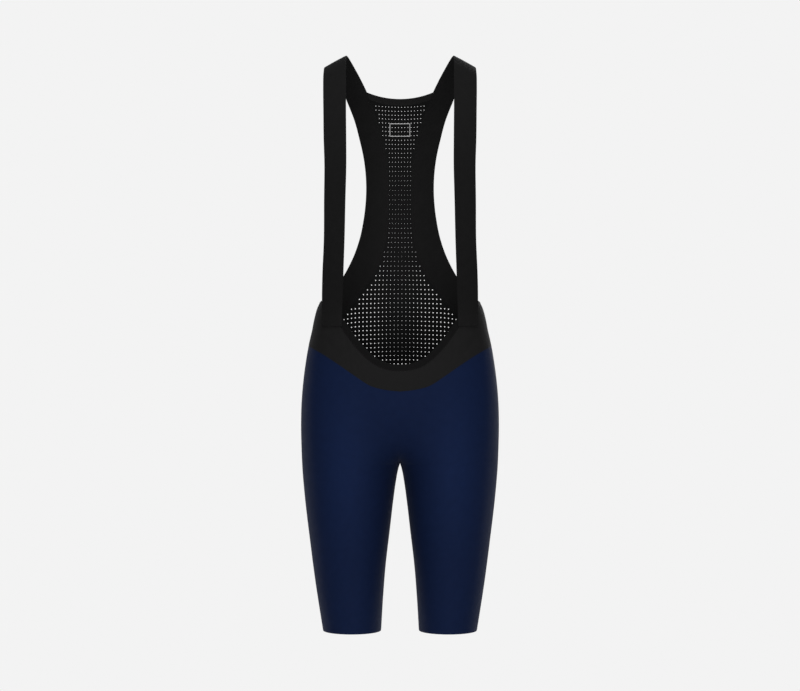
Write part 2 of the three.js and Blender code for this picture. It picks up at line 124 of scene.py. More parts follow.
def ease(share: np.ndarray | float) -> np.ndarray | float:
    """Smooth step of a share that is cut off to 0 to 1."""
    inside = np.clip(share, 0.0, 1.0)
    return inside * inside * (3.0 - 2.0 * inside)


def unit(vectors: np.ndarray) -> np.ndarray:
    """Vectors brought to length 1."""
    length = np.linalg.norm(vectors, axis=-1, keepdims=True)
    return vectors / np.maximum(length, 1e-9)


def column(rows: tuple, index: int) -> np.ndarray:
    """One column of a table as an array."""
    return np.array([row[index] for row in rows], dtype=float)


def reach(points: np.ndarray) -> np.ndarray:
    """Length along a line of points, from its first one."""
    return np.concatenate([[0.0], np.cumsum(np.linalg.norm(np.diff(points, axis=0), axis=1))])


class TableCurve:
    """A smooth curve through one column of a table, read at any value of the key column."""

    def __init__(self, keys: np.ndarray, values: np.ndarray) -> None:
        """Sorts the table by its key and works out the slope at each row.

        Args:
            keys: the key column.
            values: the column that is read.
        """
        order = np.argsort(keys)
        self.keys, self.values = keys[order], values[order]
        span = np.diff(self.keys)
        rise = np.diff(self.values) / span
        inner = (rise[:-1] * span[1:] + rise[1:] * span[:-1]) / (span[:-1] + span[1:])
        self.slopes = np.concatenate([rise[:1], inner, rise[-1:]])

    def __call__(self, at: np.ndarray | float) -> np.ndarray:
        """Reads the curve.

        Args:
            at: key values; outside the table the end value holds.

        Returns:
            The curve's values.
        """
        inside = np.clip(np.asarray(at, dtype=float), self.keys[0], self.keys[-1])
        i = np.clip(np.searchsorted(self.keys, inside) - 1, 0, len(self.keys) - 2)
        span = self.keys[i + 1] - self.keys[i]
        t = (inside - self.keys[i]) / span
        t2, t3 = t * t, t * t * t
        return (
            (2 * t3 - 3 * t2 + 1) * self.values[i]
            + (t3 - 2 * t2 + t) * span * self.slopes[i]
            + (3 * t2 - 2 * t3) * self.values[i + 1]
            + (t3 - t2) * span * self.slopes[i + 1]
        )


@dataclass(frozen=True)
class Crease:
    """A soft trough (depth below 0) or ridge in the cloth, from one place to another."""

    side: Side
    start: tuple[float, float]
    end: tuple[float, float]
    width: float
    depth: float
    fade_in: float = 0.35
    fade_out: float = 0.45

    def lift(self, side: Side, x: np.ndarray, z: np.ndarray) -> np.ndarray:
        """How far the crease moves the cloth out.

        Args:
            side: the half that the points lie on.
            x: places across.
            z: levels.

        Returns:
            The distance outward at each point, in millimetres.
        """
        if side is not self.side:
            return np.zeros(np.broadcast(x, z).shape)
        run = np.array(self.end) - np.array(self.start)
        length = float(np.hypot(*run))
        along = ((x - self.start[0]) * run[0] + (z - self.start[1]) * run[1]) / length**2
        off = ((x - self.start[0]) * run[1] - (z - self.start[1]) * run[0]) / length
        fade = ease(along / self.fade_in) * ease((1.0 - along) / self.fade_out)
        return self.depth * fade * np.exp(-((off / self.width) ** 2))


CREASES = (
    Crease(Side.FRONT, (-8, -588), (-70, -556), 9.0, -0.5),
    Crease(Side.FRONT, (10, -590), (74, -562), 9.0, -0.45),
    Crease(Side.FRONT, (-24, -634), (-76, -664), 10.0, -0.4),
    Crease(Side.FRONT, (26, -640), (80, -676), 10.0, -0.4),
    Crease(Side.FRONT, (-118, -404), (-86, -440), 5.0, -0.7),
    Crease(Side.FRONT, (119, -400), (90, -442), 5.0, -0.7),
    Crease(Side.BACK, (-8, -596), (-84, -570), 7.0, -1.1),
    Crease(Side.BACK, (8, -594), (80, -562), 7.0, -1.0),
    Crease(Side.BACK, (-20, -622), (-100, -624), 8.0, -0.9),
    Crease(Side.BACK, (20, -628), (104, -634), 8.0, -0.8),
    Crease(Side.BACK, (-26, -664), (-84, -690), 9.0, 0.6),
    Crease(Side.BACK, (28, -672), (88, -704), 9.0, 0.6),
    Crease(Side.BACK, (-104, -424), (-34, -470), 8.0, -0.8),
    Crease(Side.BACK, (106, -426), (36, -474), 8.0, -0.7),
    Crease(Side.BACK, (-30, -300), (-12, -430), 7.0, -0.8),
    Crease(Side.BACK, (34, -296), (14, -424), 7.0, -0.7),
    Crease(Side.BACK, (3, -180), (-4, -330), 6.0, 0.5),
)


@dataclass
class Figure:
    """The general figure that the cloth is filled out to, with the creases that lie in the cloth."""

    crotch_z: float = -598.5
    fork_top: dict = field(default_factory=lambda: {Side.FRONT: -508.0, Side.BACK: -524.0})
    thigh_top_z: float = -430.0
    thigh_foot_z: float = -650.0
    thigh_from: float = 0.2
    thigh_full: float = 0.5
    groove_rounding: float = 22.0
    inner_thigh_length: float = 90.0
    inner_thigh_power: float = 2.5
    creases: tuple[Crease, ...] = CREASES
    closing_rounds: int = 30
    closing_share: float = 0.7

    def __post_init__(self) -> None:
        """Draws the smooth curves through the tables."""
        levels = column(FIGURE_LEVELS, 0)
        self.half = TableCurve(levels, column(FIGURE_LEVELS, 1))
        self.depth = {
            Side.FRONT: TableCurve(levels, column(FIGURE_LEVELS, 2)),
            Side.BACK: TableCurve(levels, column(FIGURE_LEVELS, 3)),
        }
        self.square = TableCurve(levels, column(FIGURE_LEVELS, 4))
        self.leg_gap = TableCurve(column(LEG_GAP, 0), column(LEG_GAP, 1))

    def gap(self, z: np.ndarray) -> np.ndarray:
        """Half of the gap between the legs, nothing above the crotch."""
        return np.where(np.asarray(z) >= self.crotch_z, 0.0, self.leg_gap(z))

    def down_fork(self, side: Side, z: np.ndarray) -> np.ndarray:
        """How far down the fork a level is, from 0 above it to 1 at the crotch."""
        top = self.fork_top[side]
        return np.clip((top - z) / (top - self.crotch_z), 0.0, 1.0)

    def across(self, side: Side, x: np.ndarray, z: np.ndarray) -> np.ndarray:
        """The section across a level: 0 at its middle and 1 on its outline, y left out.

        Args:
            side: front or back.
            x: places across.
            z: levels.

        Returns:
            The section's share at each point.
        """
        half, gap, power = self.half(z), self.gap(z), self.square(z)
        fork = self.down_fork(side, z)
        trunk = (np.abs(x) / half) ** power
        radius = self.groove_rounding * (1.0 - fork)
        far = np.abs(x)
        rounded = radius * np.clip(1.0 - far / np.maximum(2.0 * radius, 1e-9), 0.0, None) ** 2
        far = np.where(far >= 2.0 * radius, far, far + rounded)
        nearness = np.clip((half - far) / (half - gap), 0.0, 1.0)
        power_in = mix(self.inner_thigh_power, 1.0, ease((self.crotch_z - z) / self.inner_thigh_length))
        leg = np.abs((far - gap * nearness**power_in) / (half / 2.0) - 1.0) ** power
        thigh = ease((self.thigh_top_z - z) / (self.thigh_top_z - self.thigh_foot_z))
        off = (np.abs(x) / half - self.thigh_from) / (self.thigh_full - self.thigh_from)
        return mix(trunk, leg, mix(fork**power, thigh, ease(off)))

    def on_figure(self, side: Side, x: np.ndarray, z: np.ndarray) -> np.ndarray:
        """Points of the bare figure.

        Args:
            side: front or back.
            x: places across.
            z: levels.

        Returns:
            The points, with x, y and z on the last axis.
        """
        x, z = np.broadcast_arrays(np.asarray(x, float), np.asarray(z, float))
        room = np.maximum(0.0, 1.0 - self.across(side, x, z))
        y = side.value * self.depth[side](z) * room ** (1.0 / self.square(z))
        return np.stack([x, y, z], axis=-1)

    def form(self, side: Side, points: np.ndarray) -> np.ndarray:
        """The figure's implicit form, which is 1 on its surface."""
        x, y, z = points[..., 0], points[..., 1], points[..., 2]
        return (np.abs(y) / self.depth[side](z)) ** self.square(z) + self.across(side, x, z)

    def outward(self, side: Side, points: np.ndarray) -> np.ndarray:
        """Directions out of the figure at points on it.

        Args:
            side: front or back.
            points: points on the figure.

        Returns:
            Directions of length 1.
        """
        step = 0.05
        slopes = []
        for axis in range(3):
            move = np.zeros(3)
            move[axis] = step
            slopes.append(self.form(side, points + move) - self.form(side, points - move))
        return unit(np.stack(slopes, axis=-1))

    def cloth(
        self, side: Side, x: np.ndarray, z: np.ndarray, lift: np.ndarray | float = 0.0
    ) -> tuple[np.ndarray, np.ndarray]:
        """Points of the cloth's outer face, creases included.

        Args:
            side: front or back.
            x: places across.
            z: levels.
            lift: how far the face lies off the figure.

        Returns:
            The points and their outward directions.
        """
        points = self.on_figure(side, x, z)
        outs = self.outward(side, points)
        x, z = points[..., 0], points[..., 2]
        folds = sum((crease.lift(side, x, z) for crease in self.creases), np.zeros(x.shape))
        points = points + outs * (lift + folds)[..., None]
        points[..., 1] += side.value * SEAM_GAP / 2
        return points, outs

    def around(
        self,
        side: Side,
        angle: np.ndarray,
        z: np.ndarray,
        sign: np.ndarray | float,
        lift: np.ndarray | float = 0.0,
    ) -> tuple[np.ndarray, np.ndarray]:
        """Cloth at angles round the figure, 0 at the side seam and a right angle at the centre."""
        return self.cloth(side, sign * self.half(z) * np.cos(angle), z, lift)

    def line_at(self, line: TableCurve, turn: np.ndarray) -> np.ndarray:
        """The level of an edge line, given by x, where columns of these turns cross it.

        Args:
            line: the edge's level by x.
            turn: 0 at the side seam and 1 at the centre.

        Returns:
            The levels.
        """
        z = np.full(np.shape(turn), float(line(0.0)))
        for _ in range(self.closing_rounds):
            z = mix(z, line(self.half(z) * np.cos(np.asarray(turn) * math.pi / 2)), self.closing_share)
        return z


class ClothNodes:
    """The nodes of one cloth's material, with the place on the flat cloth as their start."""

    def __init__(self, name: str) -> None:
        """Starts the material.

        Args:
            name: its name.
        """
        self.material = bpy.data.materials.new(name)
        self.material.use_nodes = True
        self.nodes, self.links = self.material.node_tree.nodes, self.material.node_tree.links
        self.shader = self.nodes["Principled BSDF"]
        self.place = self.add("ShaderNodeUVMap", {}, uv_map=CLOTH_MAP).outputs["UV"]

    def feed(self, socket: bpy.types.NodeSocket, value: object) -> None:
        """Gives an input its value.

        Args:
            socket: the input.
            value: a number, a colour or the output that it takes its value from.
        """
        if isinstance(value, bpy.types.NodeSocket):
            self.links.new(value, socket)
        else:
            socket.default_value = value

    def add(self, kind: str, inputs: dict[str, object], **settings: object) -> bpy.types.Node:
        """Adds a node.

        Args:
            kind: the node's type.
            inputs: what each named input gets.
            settings: the node's own settings.

        Returns:
            The node.
        """
        node = self.nodes.new(kind)
        for name, setting in settings.items():
            setattr(node, name, setting)
        for name, value in inputs.items():
            self.feed(node.inputs[name], value)
        return node

    def run(self, operation: str, first: object, second: object = 0.0) -> bpy.types.NodeSocket:
        """Adds one sum.

        Args:
            operation: the sum's kind.
            first: a number or an output.
            second: a number or an output.

        Returns:
            The output that holds the result.
        """
        node = self.add("ShaderNodeMath", {}, operation=operation)
        self.feed(node.inputs[0], first)
        self.feed(node.inputs[1], second)
        return node.outputs["Value"]

    def noise(self, scale: float, detail: float = 2.0, roughness: float = 0.5) -> bpy.types.NodeSocket:
        """A cloudy pattern over the cloth.

        Args:
            scale: how fine it is.
            detail: how many finer layers it has.
            roughness: how strong those are.

        Returns:
            The output that holds it.
        """
        inputs = {"Vector": self.place, "Scale": scale, "Detail": detail, "Roughness": roughness}
        return self.add("ShaderNodeTexNoise", inputs).outputs["Fac"]


@dataclass(frozen=True)
class Finish:
    """A cloth's colour, sheen and relief. Sizes of the weave are in metres."""

    name: str
    slot: str
    colour: tuple[float, float, float]
    dark: tuple[float, float, float]
    weave: Weave
    across: float = 0.0009
    along: float = 0.0008
    relief: float = 0.00012
    roughness: float = 0.8
    specular: float = 0.05
    sheen: float = 0.05
    sheen_roughness: float = 0.35
    sheen_tint: tuple[float, float, float] = (0.5, 0.5, 0.55)
    mottle: float = 0.012
    bump: float = 0.6
    relief_painted_shade: float = 0.55
    cloud_share: float = 0.75
    gloss_grain: float = 90.0
    gloss_spread: float = 0.08
    print_grain: float = 1500.0
    loop_slant: float = 1.3
    loop_depth: float = 0.3
    rib_power: float = 0.6
    pick_depth: float = 0.35
    thread_powers: tuple[float, float] = (0.5, 0.7)

    def material(self) -> bpy.types.Material:
        """Builds the material's nodes, or returns them where they were built before.

        Returns:
            The material.
        """
        ready = bpy.data.materials.get(self.name)
        if ready:
            return ready
        book = ClothNodes(self.name)
        book.material.diffuse_color = (*self.colour, 1.0)
        height = self.height(book)
        bump = book.add("ShaderNodeBump", {"Strength": self.bump, "Distance": self.relief, "Height": height})
        looks = {
            "Specular IOR Level": self.specular,
            "Sheen Weight": self.sheen,
            "Sheen Roughness": self.sheen_roughness,
            "Sheen Tint": (*self.sheen_tint, 1.0),
            "Base Color": self.tones(book, height),
            "Roughness": self.gloss(book),
            "Normal": bump.outputs["Normal"],
        }
        for name, value in looks.items():
            book.feed(book.shader.inputs[name], value)
        return book.material

    def height(self, book: ClothNodes) -> bpy.types.NodeSocket:
        """The relief of the cloth's loops, ribs or threads.

        Args:
            book: the material's nodes.

        Returns:
            The output that holds the height, from 0 to 1.
        """
        run = book.run
        split = book.add("ShaderNodeSeparateXYZ", {"Vector": book.place})
        u = run("DIVIDE", split.outputs["X"], self.across)
        v = run("DIVIDE", split.outputs["Y"], self.along)
        rib = run("ABSOLUTE", run("SINE", run("MULTIPLY", u, math.pi)))
        if self.weave in (Weave.JERSEY, Weave.EYELET):
            slant = run("ABSOLUTE", run("SUBTRACT", run("FRACT", u), 0.5))
            course = run("ADD", v, run("MULTIPLY", slant, self.loop_slant))
            loop = run("MULTIPLY", run("SINE", run("MULTIPLY", course, 2 * math.pi)), self.loop_depth)
            return run("MULTIPLY", run("POWER", rib, self.rib_power), run("ADD", loop, 1.0 - self.loop_depth))
        if self.weave is Weave.RIBBED:
            pick = run("ABSOLUTE", run("SINE", run("MULTIPLY", v, math.pi)))
            pick = run("ADD", run("MULTIPLY", pick, self.pick_depth), 1.0 - self.pick_depth)
            return run("MULTIPLY", rib, pick)
        if self.weave is Weave.WOVEN:
            odd = run("MULTIPLY", run("FLOORED_MODULO", run("FLOOR", u), 2.0), 0.5)
            pick = run("ABSOLUTE", run("SINE", run("MULTIPLY", run("ADD", v, odd), math.pi)))
            warp, weft = self.thread_powers
            return run("MULTIPLY", run("POWER", rib, warp), run("POWER", pick, weft))
        if self.weave is Weave.THREAD:
            return run("ABSOLUTE", run("SINE", run("MULTIPLY", run("ADD", u, v), math.pi)))
        return book.noise(self.print_grain)

    def tones(self, book: ClothNodes, height: bpy.types.NodeSocket) -> bpy.types.NodeSocket:
        """The colour: painted shade between the threads, a little uneven at random, and with the painted
        highlight and shade that a piece carries.

        Args:
            book: the material's nodes.
            height: the relief.

        Returns:
            The output that holds the colour.
        """
        run = book.run
        cloud = book.noise(1.0 / self.mottle, 4.0, 0.6)
        # The relief darkens the colour between the threads as painted shade; the cloud is random tone
        share = run("ADD", run("MULTIPLY", height, self.relief_painted_shade), run("MULTIPLY", cloud, self.cloud_share))
        blend = book.add(
            "ShaderNodeMix", {"Factor": share, "A": (*self.dark, 1.0), "B": (*self.colour, 1.0)},
            data_type="RGBA", clamp_factor=True,
        )
        # Painted highlight and painted shade from the piece's attribute lighten and darken the colour
        painted_light_source = book.add("ShaderNodeAttribute", {}, attribute_name=PAINTED_LIGHT_MAP)
        gain = run("ADD", painted_light_source.outputs["Fac"], 1.0)
        lighter = book.add(
            "ShaderNodeMix", {"Factor": 1.0, "A": blend.outputs["Result"], "B": gain},
            data_type="RGBA", blend_type="MULTIPLY", clamp_result=False,
        )
        return lighter.outputs["Result"]

    def gloss(self, book: ClothNodes) -> bpy.types.NodeSocket:
        """The roughness, which varies slightly over the cloth.

        Args:
            book: the material's nodes.

        Returns:
            The output that holds the roughness.
        """
        low, high = self.roughness - self.gloss_spread, min(1.0, self.roughness + self.gloss_spread)
        grain = book.noise(self.gloss_grain, 3.0)
        spread = book.add("ShaderNodeMapRange", {"Value": grain, "To Min": low, "To Max": high})
        return spread.outputs["Result"]


NAVY_KNIT = Finish(
    "navy stretch knit", "navy_knit", (0.0034, 0.0090, 0.0345), (0.0023, 0.0062, 0.0246), Weave.JERSEY,
    sheen=0.04, sheen_tint=(0.55, 0.58, 0.80), roughness=0.72,
)
BLACK_KNIT = Finish(
    "black stretch knit", "black_knit", (0.0100, 0.0098, 0.0100), (0.0068, 0.0067, 0.0068), Weave.JERSEY,
)
EDGE_ELASTIC = Finish(
    "ribbed edge elastic", "edge_elastic", (0.0048, 0.0047, 0.0048), (0.0030, 0.0030, 0.0030), Weave.RIBBED,
    across=0.0012, along=0.0009, relief=0.00025, sheen=0.03,
)
NECK_BINDING = Finish(
    "turned neck hem", "edge_elastic", (0.0115, 0.0112, 0.0112), (0.0065, 0.0064, 0.0064), Weave.RIBBED,
    across=0.0014, along=0.0011, relief=0.00025, sheen=0.05,
)
STRAP_ELASTIC = Finish(
    "woven strap elastic", "strap_elastic", (0.0079, 0.0078, 0.0079), (0.0048, 0.0047, 0.0048), Weave.WOVEN,
    across=0.0010, along=0.0012, relief=0.00020, sheen=0.04,
)
MESH_KNIT = Finish(
    "perforated knit mesh", "mesh_knit", (0.0064, 0.0063, 0.0065), (0.0040, 0.0040, 0.0041), Weave.EYELET,
    across=0.0008, along=0.0007, sheen=0.03,
)
NAVY_THREAD = Finish(
    "navy sewing thread", "navy_knit", (0.0060, 0.0125, 0.0430), (0.0035, 0.0075, 0.0270), Weave.THREAD,
    across=0.0004, along=0.0004, relief=0.00006, sheen=0.05,
)
BLACK_THREAD = Finish(
    "black sewing thread", "strap_elastic", (0.0140, 0.0138, 0.0138), (0.0080, 0.0080, 0.0080), Weave.THREAD,
    across=0.0004, along=0.0004, relief=0.00006, sheen=0.05,
)
PALE_PRINT = Finish(
    "pale plain print", "mesh_knit", (0.52, 0.52, 0.52), (0.42, 0.42, 0.42), Weave.PRINT,
    relief=0.00004, sheen=0.0, roughness=0.6,
)


def hand_over(piece: bpy.types.Object, finish: Finish, nodes: tuple[str, ...] = ()) -> bpy.types.Object:
    """Dresses a piece and tells the frame about it.

    Args:
        piece: the made object.
        finish: its cloth.
        nodes: the solids that it stands for.

    Returns:
        The same object.
    """
    piece.data.materials.clear()
    piece.data.materials.append(finish.material())
    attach(piece, BODY)
    if nodes:
        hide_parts(*nodes)
    LOG.info("%s: %d faces", piece.name, len(piece.data.polygons))
    return piece


def into_scene(
    name: str, points: np.ndarray, faces: list, places: np.ndarray, sharp: np.ndarray | None = None
) -> bpy.types.Object:
    """Makes a mesh object from millimetres.

    Args:
        name: the object's name.
        points: its vertices.
        faces: its faces, anticlockwise as seen from outside.
        places: each vertex's place on the flat cloth.
        sharp: pairs of vertices whose edges are sharp.

    Returns:
        The object, linked to the scene.
    """
    mesh = bpy.data.meshes.new(name)
    mesh.from_pydata((points * MM).tolist(), [], faces)
    mesh.shade_smooth()
    corners = np.empty(len(mesh.loops), dtype=np.int32)
    mesh.loops.foreach_get("vertex_index", corners)
    layer = mesh.uv_layers.new(name=CLOTH_MAP)
    layer.data.foreach_set("uv", (places[corners] * MM).astype(np.float32).ravel())
    if sharp is not None and len(sharp):
        ends = np.empty(len(mesh.edges) * 2, dtype=np.int64)
        mesh.edges.foreach_get("vertices", ends)
        ends = np.sort(ends.reshape(-1, 2), axis=1)
        wanted = np.sort(sharp, axis=1)
        size = len(points)
        is_sharp = np.isin(ends[:, 0] * size + ends[:, 1], wanted[:, 0] * size + wanted[:, 1])
        mesh.edges.foreach_set("use_edge_sharp", is_sharp)
    made = bpy.data.objects.new(name, mesh)
    bpy.context.scene.collection.objects.link(made)
    return made


@dataclass
class ClothWall:
    """A closed thin wall of cloth: an outer face, an inner face and a rounded cut edge."""

    name: str
    thickness: float
    edge_round: float = 0.3

    def make(
        self,
        points: np.ndarray,
        outs: np.ndarray,
        faces: list,
        places: np.ndarray,
        stretch: np.ndarray | None = None,
    ) -> bpy.types.Object:
        """Builds the wall.

        Args:
            points: the outer face's vertices, in a list or a grid.
            outs: their outward directions.
            faces: the outer faces, anticlockwise as seen from outside.
            places: each vertex's place on the flat cloth.
            stretch: painted highlight (above 0) and painted shade (below 0) at each vertex, as a share of its
                colour.

        Returns:
            The wall as an object.
        """
        points, outs = points.reshape(-1, 3), outs.reshape(-1, 3)
        count = len(points)
        inner = points - outs * self.thickness
        edges = {}
        for face in faces:
            for start, end in zip(face, face[1:] + face[:1]):
                edges[(start, end)] = True
        rim = [(start, end) for start, end in edges if (end, start) not in edges]
        out_of_edge = np.zeros_like(points)
        for start, end in rim:
            away = np.cross(points[end] - points[start], outs[start])
            out_of_edge[start] += away
            out_of_edge[end] += away
        rim_points = sorted({index for edge in rim for index in edge})
        ring_of = {index: 2 * count + i for i, index in enumerate(rim_points)}
        middle = (points[rim_points] + inner[rim_points]) / 2
        ring = middle + unit(out_of_edge[rim_points]) * self.edge_round
        walls = [list(face) for face in faces]
        walls += [[index + count for index in reversed(face)] for face in faces]
        for start, end in rim:
            walls.append([end, start, ring_of[start], ring_of[end]])
            walls.append([ring_of[end], ring_of[start], start + count, end + count])
        pairs = np.array(rim)
        made = into_scene(
            self.name,
            np.concatenate([points, inner, ring]),
            walls,
            np.concatenate([places, places, places[rim_points]]),
            np.concatenate([pairs, pairs + count]),
        )
        # The painted highlight and painted shade are kept per vertex for the material to multiply in
        if stretch is not None:
            layer = made.data.attributes.new(PAINTED_LIGHT_MAP, "FLOAT", "POINT")
            layer.data.foreach_set("value", np.concatenate([stretch, stretch, stretch[rim_points]]))
        return made


def grid_faces(rows: int, columns: int, outside_front: bool) -> list[list[int]]:
    """Faces of a plain grid, with rows from top to bottom and columns towards +X.

    Args:
        rows: how many rows of points.
        columns: how many points in a row.
        outside_front: whether the outer face looks towards -Y.

    Returns:
        The faces.
    """
    faces = []
    for r in range(rows - 1):
        for c in range(columns - 1):
            at = r * columns + c
            face = [at, at + columns, at + columns + 1, at + 1]
            faces.append(face if outside_front else face[::-1])
    return faces


def grid_places(points: np.ndarray) -> np.ndarray:
    """Places on the flat cloth for a grid: the length along its row from the middle, and along its columns.

    Args:
        points: the grid's points, by row, column and axis.

    Returns:
        The places, one for each point.
    """
    steps_across = np.linalg.norm(np.diff(points, axis=1), axis=2)
    u = np.concatenate([np.zeros((len(points), 1)), np.cumsum(steps_across, axis=1)], axis=1)
    u -= u[:, points.shape[1] // 2][:, None]
    steps_down = np.linalg.norm(np.diff(points, axis=0), axis=2)
    v = np.concatenate([np.zeros((1, points.shape[1])), np.cumsum(steps_down, axis=0)], axis=0)
    return np.stack([u, -v], axis=-1).reshape(-1, 2)


def signed_turns(half: int) -> tuple[np.ndarray, np.ndarray]:
    """Columns from the side seam at -X over the centre to the one at +X."""
    turn = np.linspace(0.0, 1.0, half + 1)
    return np.concatenate([-np.ones(half + 1), np.ones(half)]), np.concatenate([turn, turn[::-1][1:]])


@dataclass(frozen=True)
class Thread:
    """One sewing thread, laid as many short arched stitches."""

    radius: float = 0.17
    arch: float = 0.22
    sink: float = 0.10
    sides: int = 5
    parts: int = 4

    def sew(
        self, name: str, starts: np.ndarray, ends: np.ndarray, outs: np.ndarray, finish: Finish
    ) -> bpy.types.Object:
        """Makes all the stitches of a seam as one piece.

        Args:
            name: the piece's name.
            starts: where each stitch comes out of the cloth.
            ends: where it goes back in.
            outs: the outward direction at each stitch.
            finish: the thread's finish.

        Returns:
            The piece.
        """
        share = np.linspace(0.0, 1.0, self.parts + 1)
        run = ends - starts
        beside = unit(np.cross(run, outs))
        hump = (self.arch + self.sink) * np.sin(math.pi * share) - self.sink
        centre = starts[:, None] + run[:, None] * share[None, :, None] + outs[:, None] * hump[None, :, None]
        turn = np.arange(self.sides) * 2 * math.pi / self.sides
        spoke = outs[:, None] * np.cos(turn)[None, :, None] + beside[:, None] * np.sin(turn)[None, :, None]
        points = centre[:, :, None] + spoke[:, None] * self.radius
        per_stitch = (self.parts + 1) * self.sides
        faces = []
        for stitch in range(len(starts)):
            base = stitch * per_stitch
            for part in range(self.parts):
                for k in range(self.sides):
                    a = base + part * self.sides + k
                    b = base + part * self.sides + (k + 1) % self.sides
                    faces.append([a, b, b + self.sides, a + self.sides])
            faces.append([base + k for k in reversed(range(self.sides))])
            faces.append([base + self.parts * self.sides + k for k in range(self.sides)])
        length = np.linalg.norm(run, axis=1)
        u = np.broadcast_to(share[None, :, None] * length[:, None, None], points.shape[:3])
        v = np.broadcast_to((turn * self.radius)[None, None, :], points.shape[:3])
        made = into_scene(name, points.reshape(-1, 3), faces, np.stack([u, v], axis=-1).reshape(-1, 2))
        return hand_over(made, finish)


def along_line(points: np.ndarray, outs: np.ndarray, pitch: float) -> tuple[np.ndarray, np.ndarray, np.ndarray]:
    """Evenly spaced places along a line on the cloth.

    Args:
        points: the line.
        outs: its outward directions.
        pitch: the spacing wanted.

    Returns:
        The places, their outward directions and the directions to the line's right.
    """
    reached = reach(points)
    count = max(2, int(round(reached[-1] / pitch)))
    at = np.linspace(0.0, reached[-1], count + 1)
    spots = np.stack([np.interp(at, reached, points[:, k]) for k in range(3)], axis=-1)
    ways = unit(np.stack([np.interp(at, reached, outs[:, k]) for k in range(3)], axis=-1))
    ahead = unit(np.gradient(spots, axis=0))
    return spots, ways, unit(np.cross(ahead, ways))


def running_stitch(
    points: np.ndarray, outs: np.ndarray, pitch: float = 2.6, share: float = 0.72
) -> tuple[np.ndarray, np.ndarray, np.ndarray]:
    """A row of straight stitches along a line.

    Args:
        points: the line.
        outs: its outward directions.
        pitch: from one stitch to the next.
        share: how much of the pitch the thread shows.

    Returns:
        Each stitch's start, end and outward direction.
    """
    spots, ways, _ = along_line(points, outs, pitch)
    return spots[:-1], mix(spots[:-1], spots[1:], share), unit(ways[:-1] + ways[1:])


def zigzag_stitch(
    points: np.ndarray, outs: np.ndarray, width: float, pitch: float = 1.7
) -> tuple[np.ndarray, np.ndarray, np.ndarray]:
    """A row of slanted stitches to and fro across a line.

    Args:
        points: the line.
        outs: its outward directions.
        width: how wide the row is.
        pitch: from one stitch to the next.

    Returns:
        Each stitch's start, end and outward direction.
    """
    spots, ways, right = along_line(points, outs, pitch)
    swing = np.where(np.arange(len(spots)) % 2 == 0, -0.5, 0.5)[:, None] * width
    spots = spots + right * swing
    return spots[:-1], spots[1:], unit(ways[:-1] + ways[1:])


def back_seam(x: np.ndarray) -> np.ndarray:
    """The level of the seam between the mesh and the navy back."""
    return mix(BACK_NAVY_CENTRE_Z, SIDE_NAVY_Z, ease(np.asarray(x) / SIDE_NAVY_X))


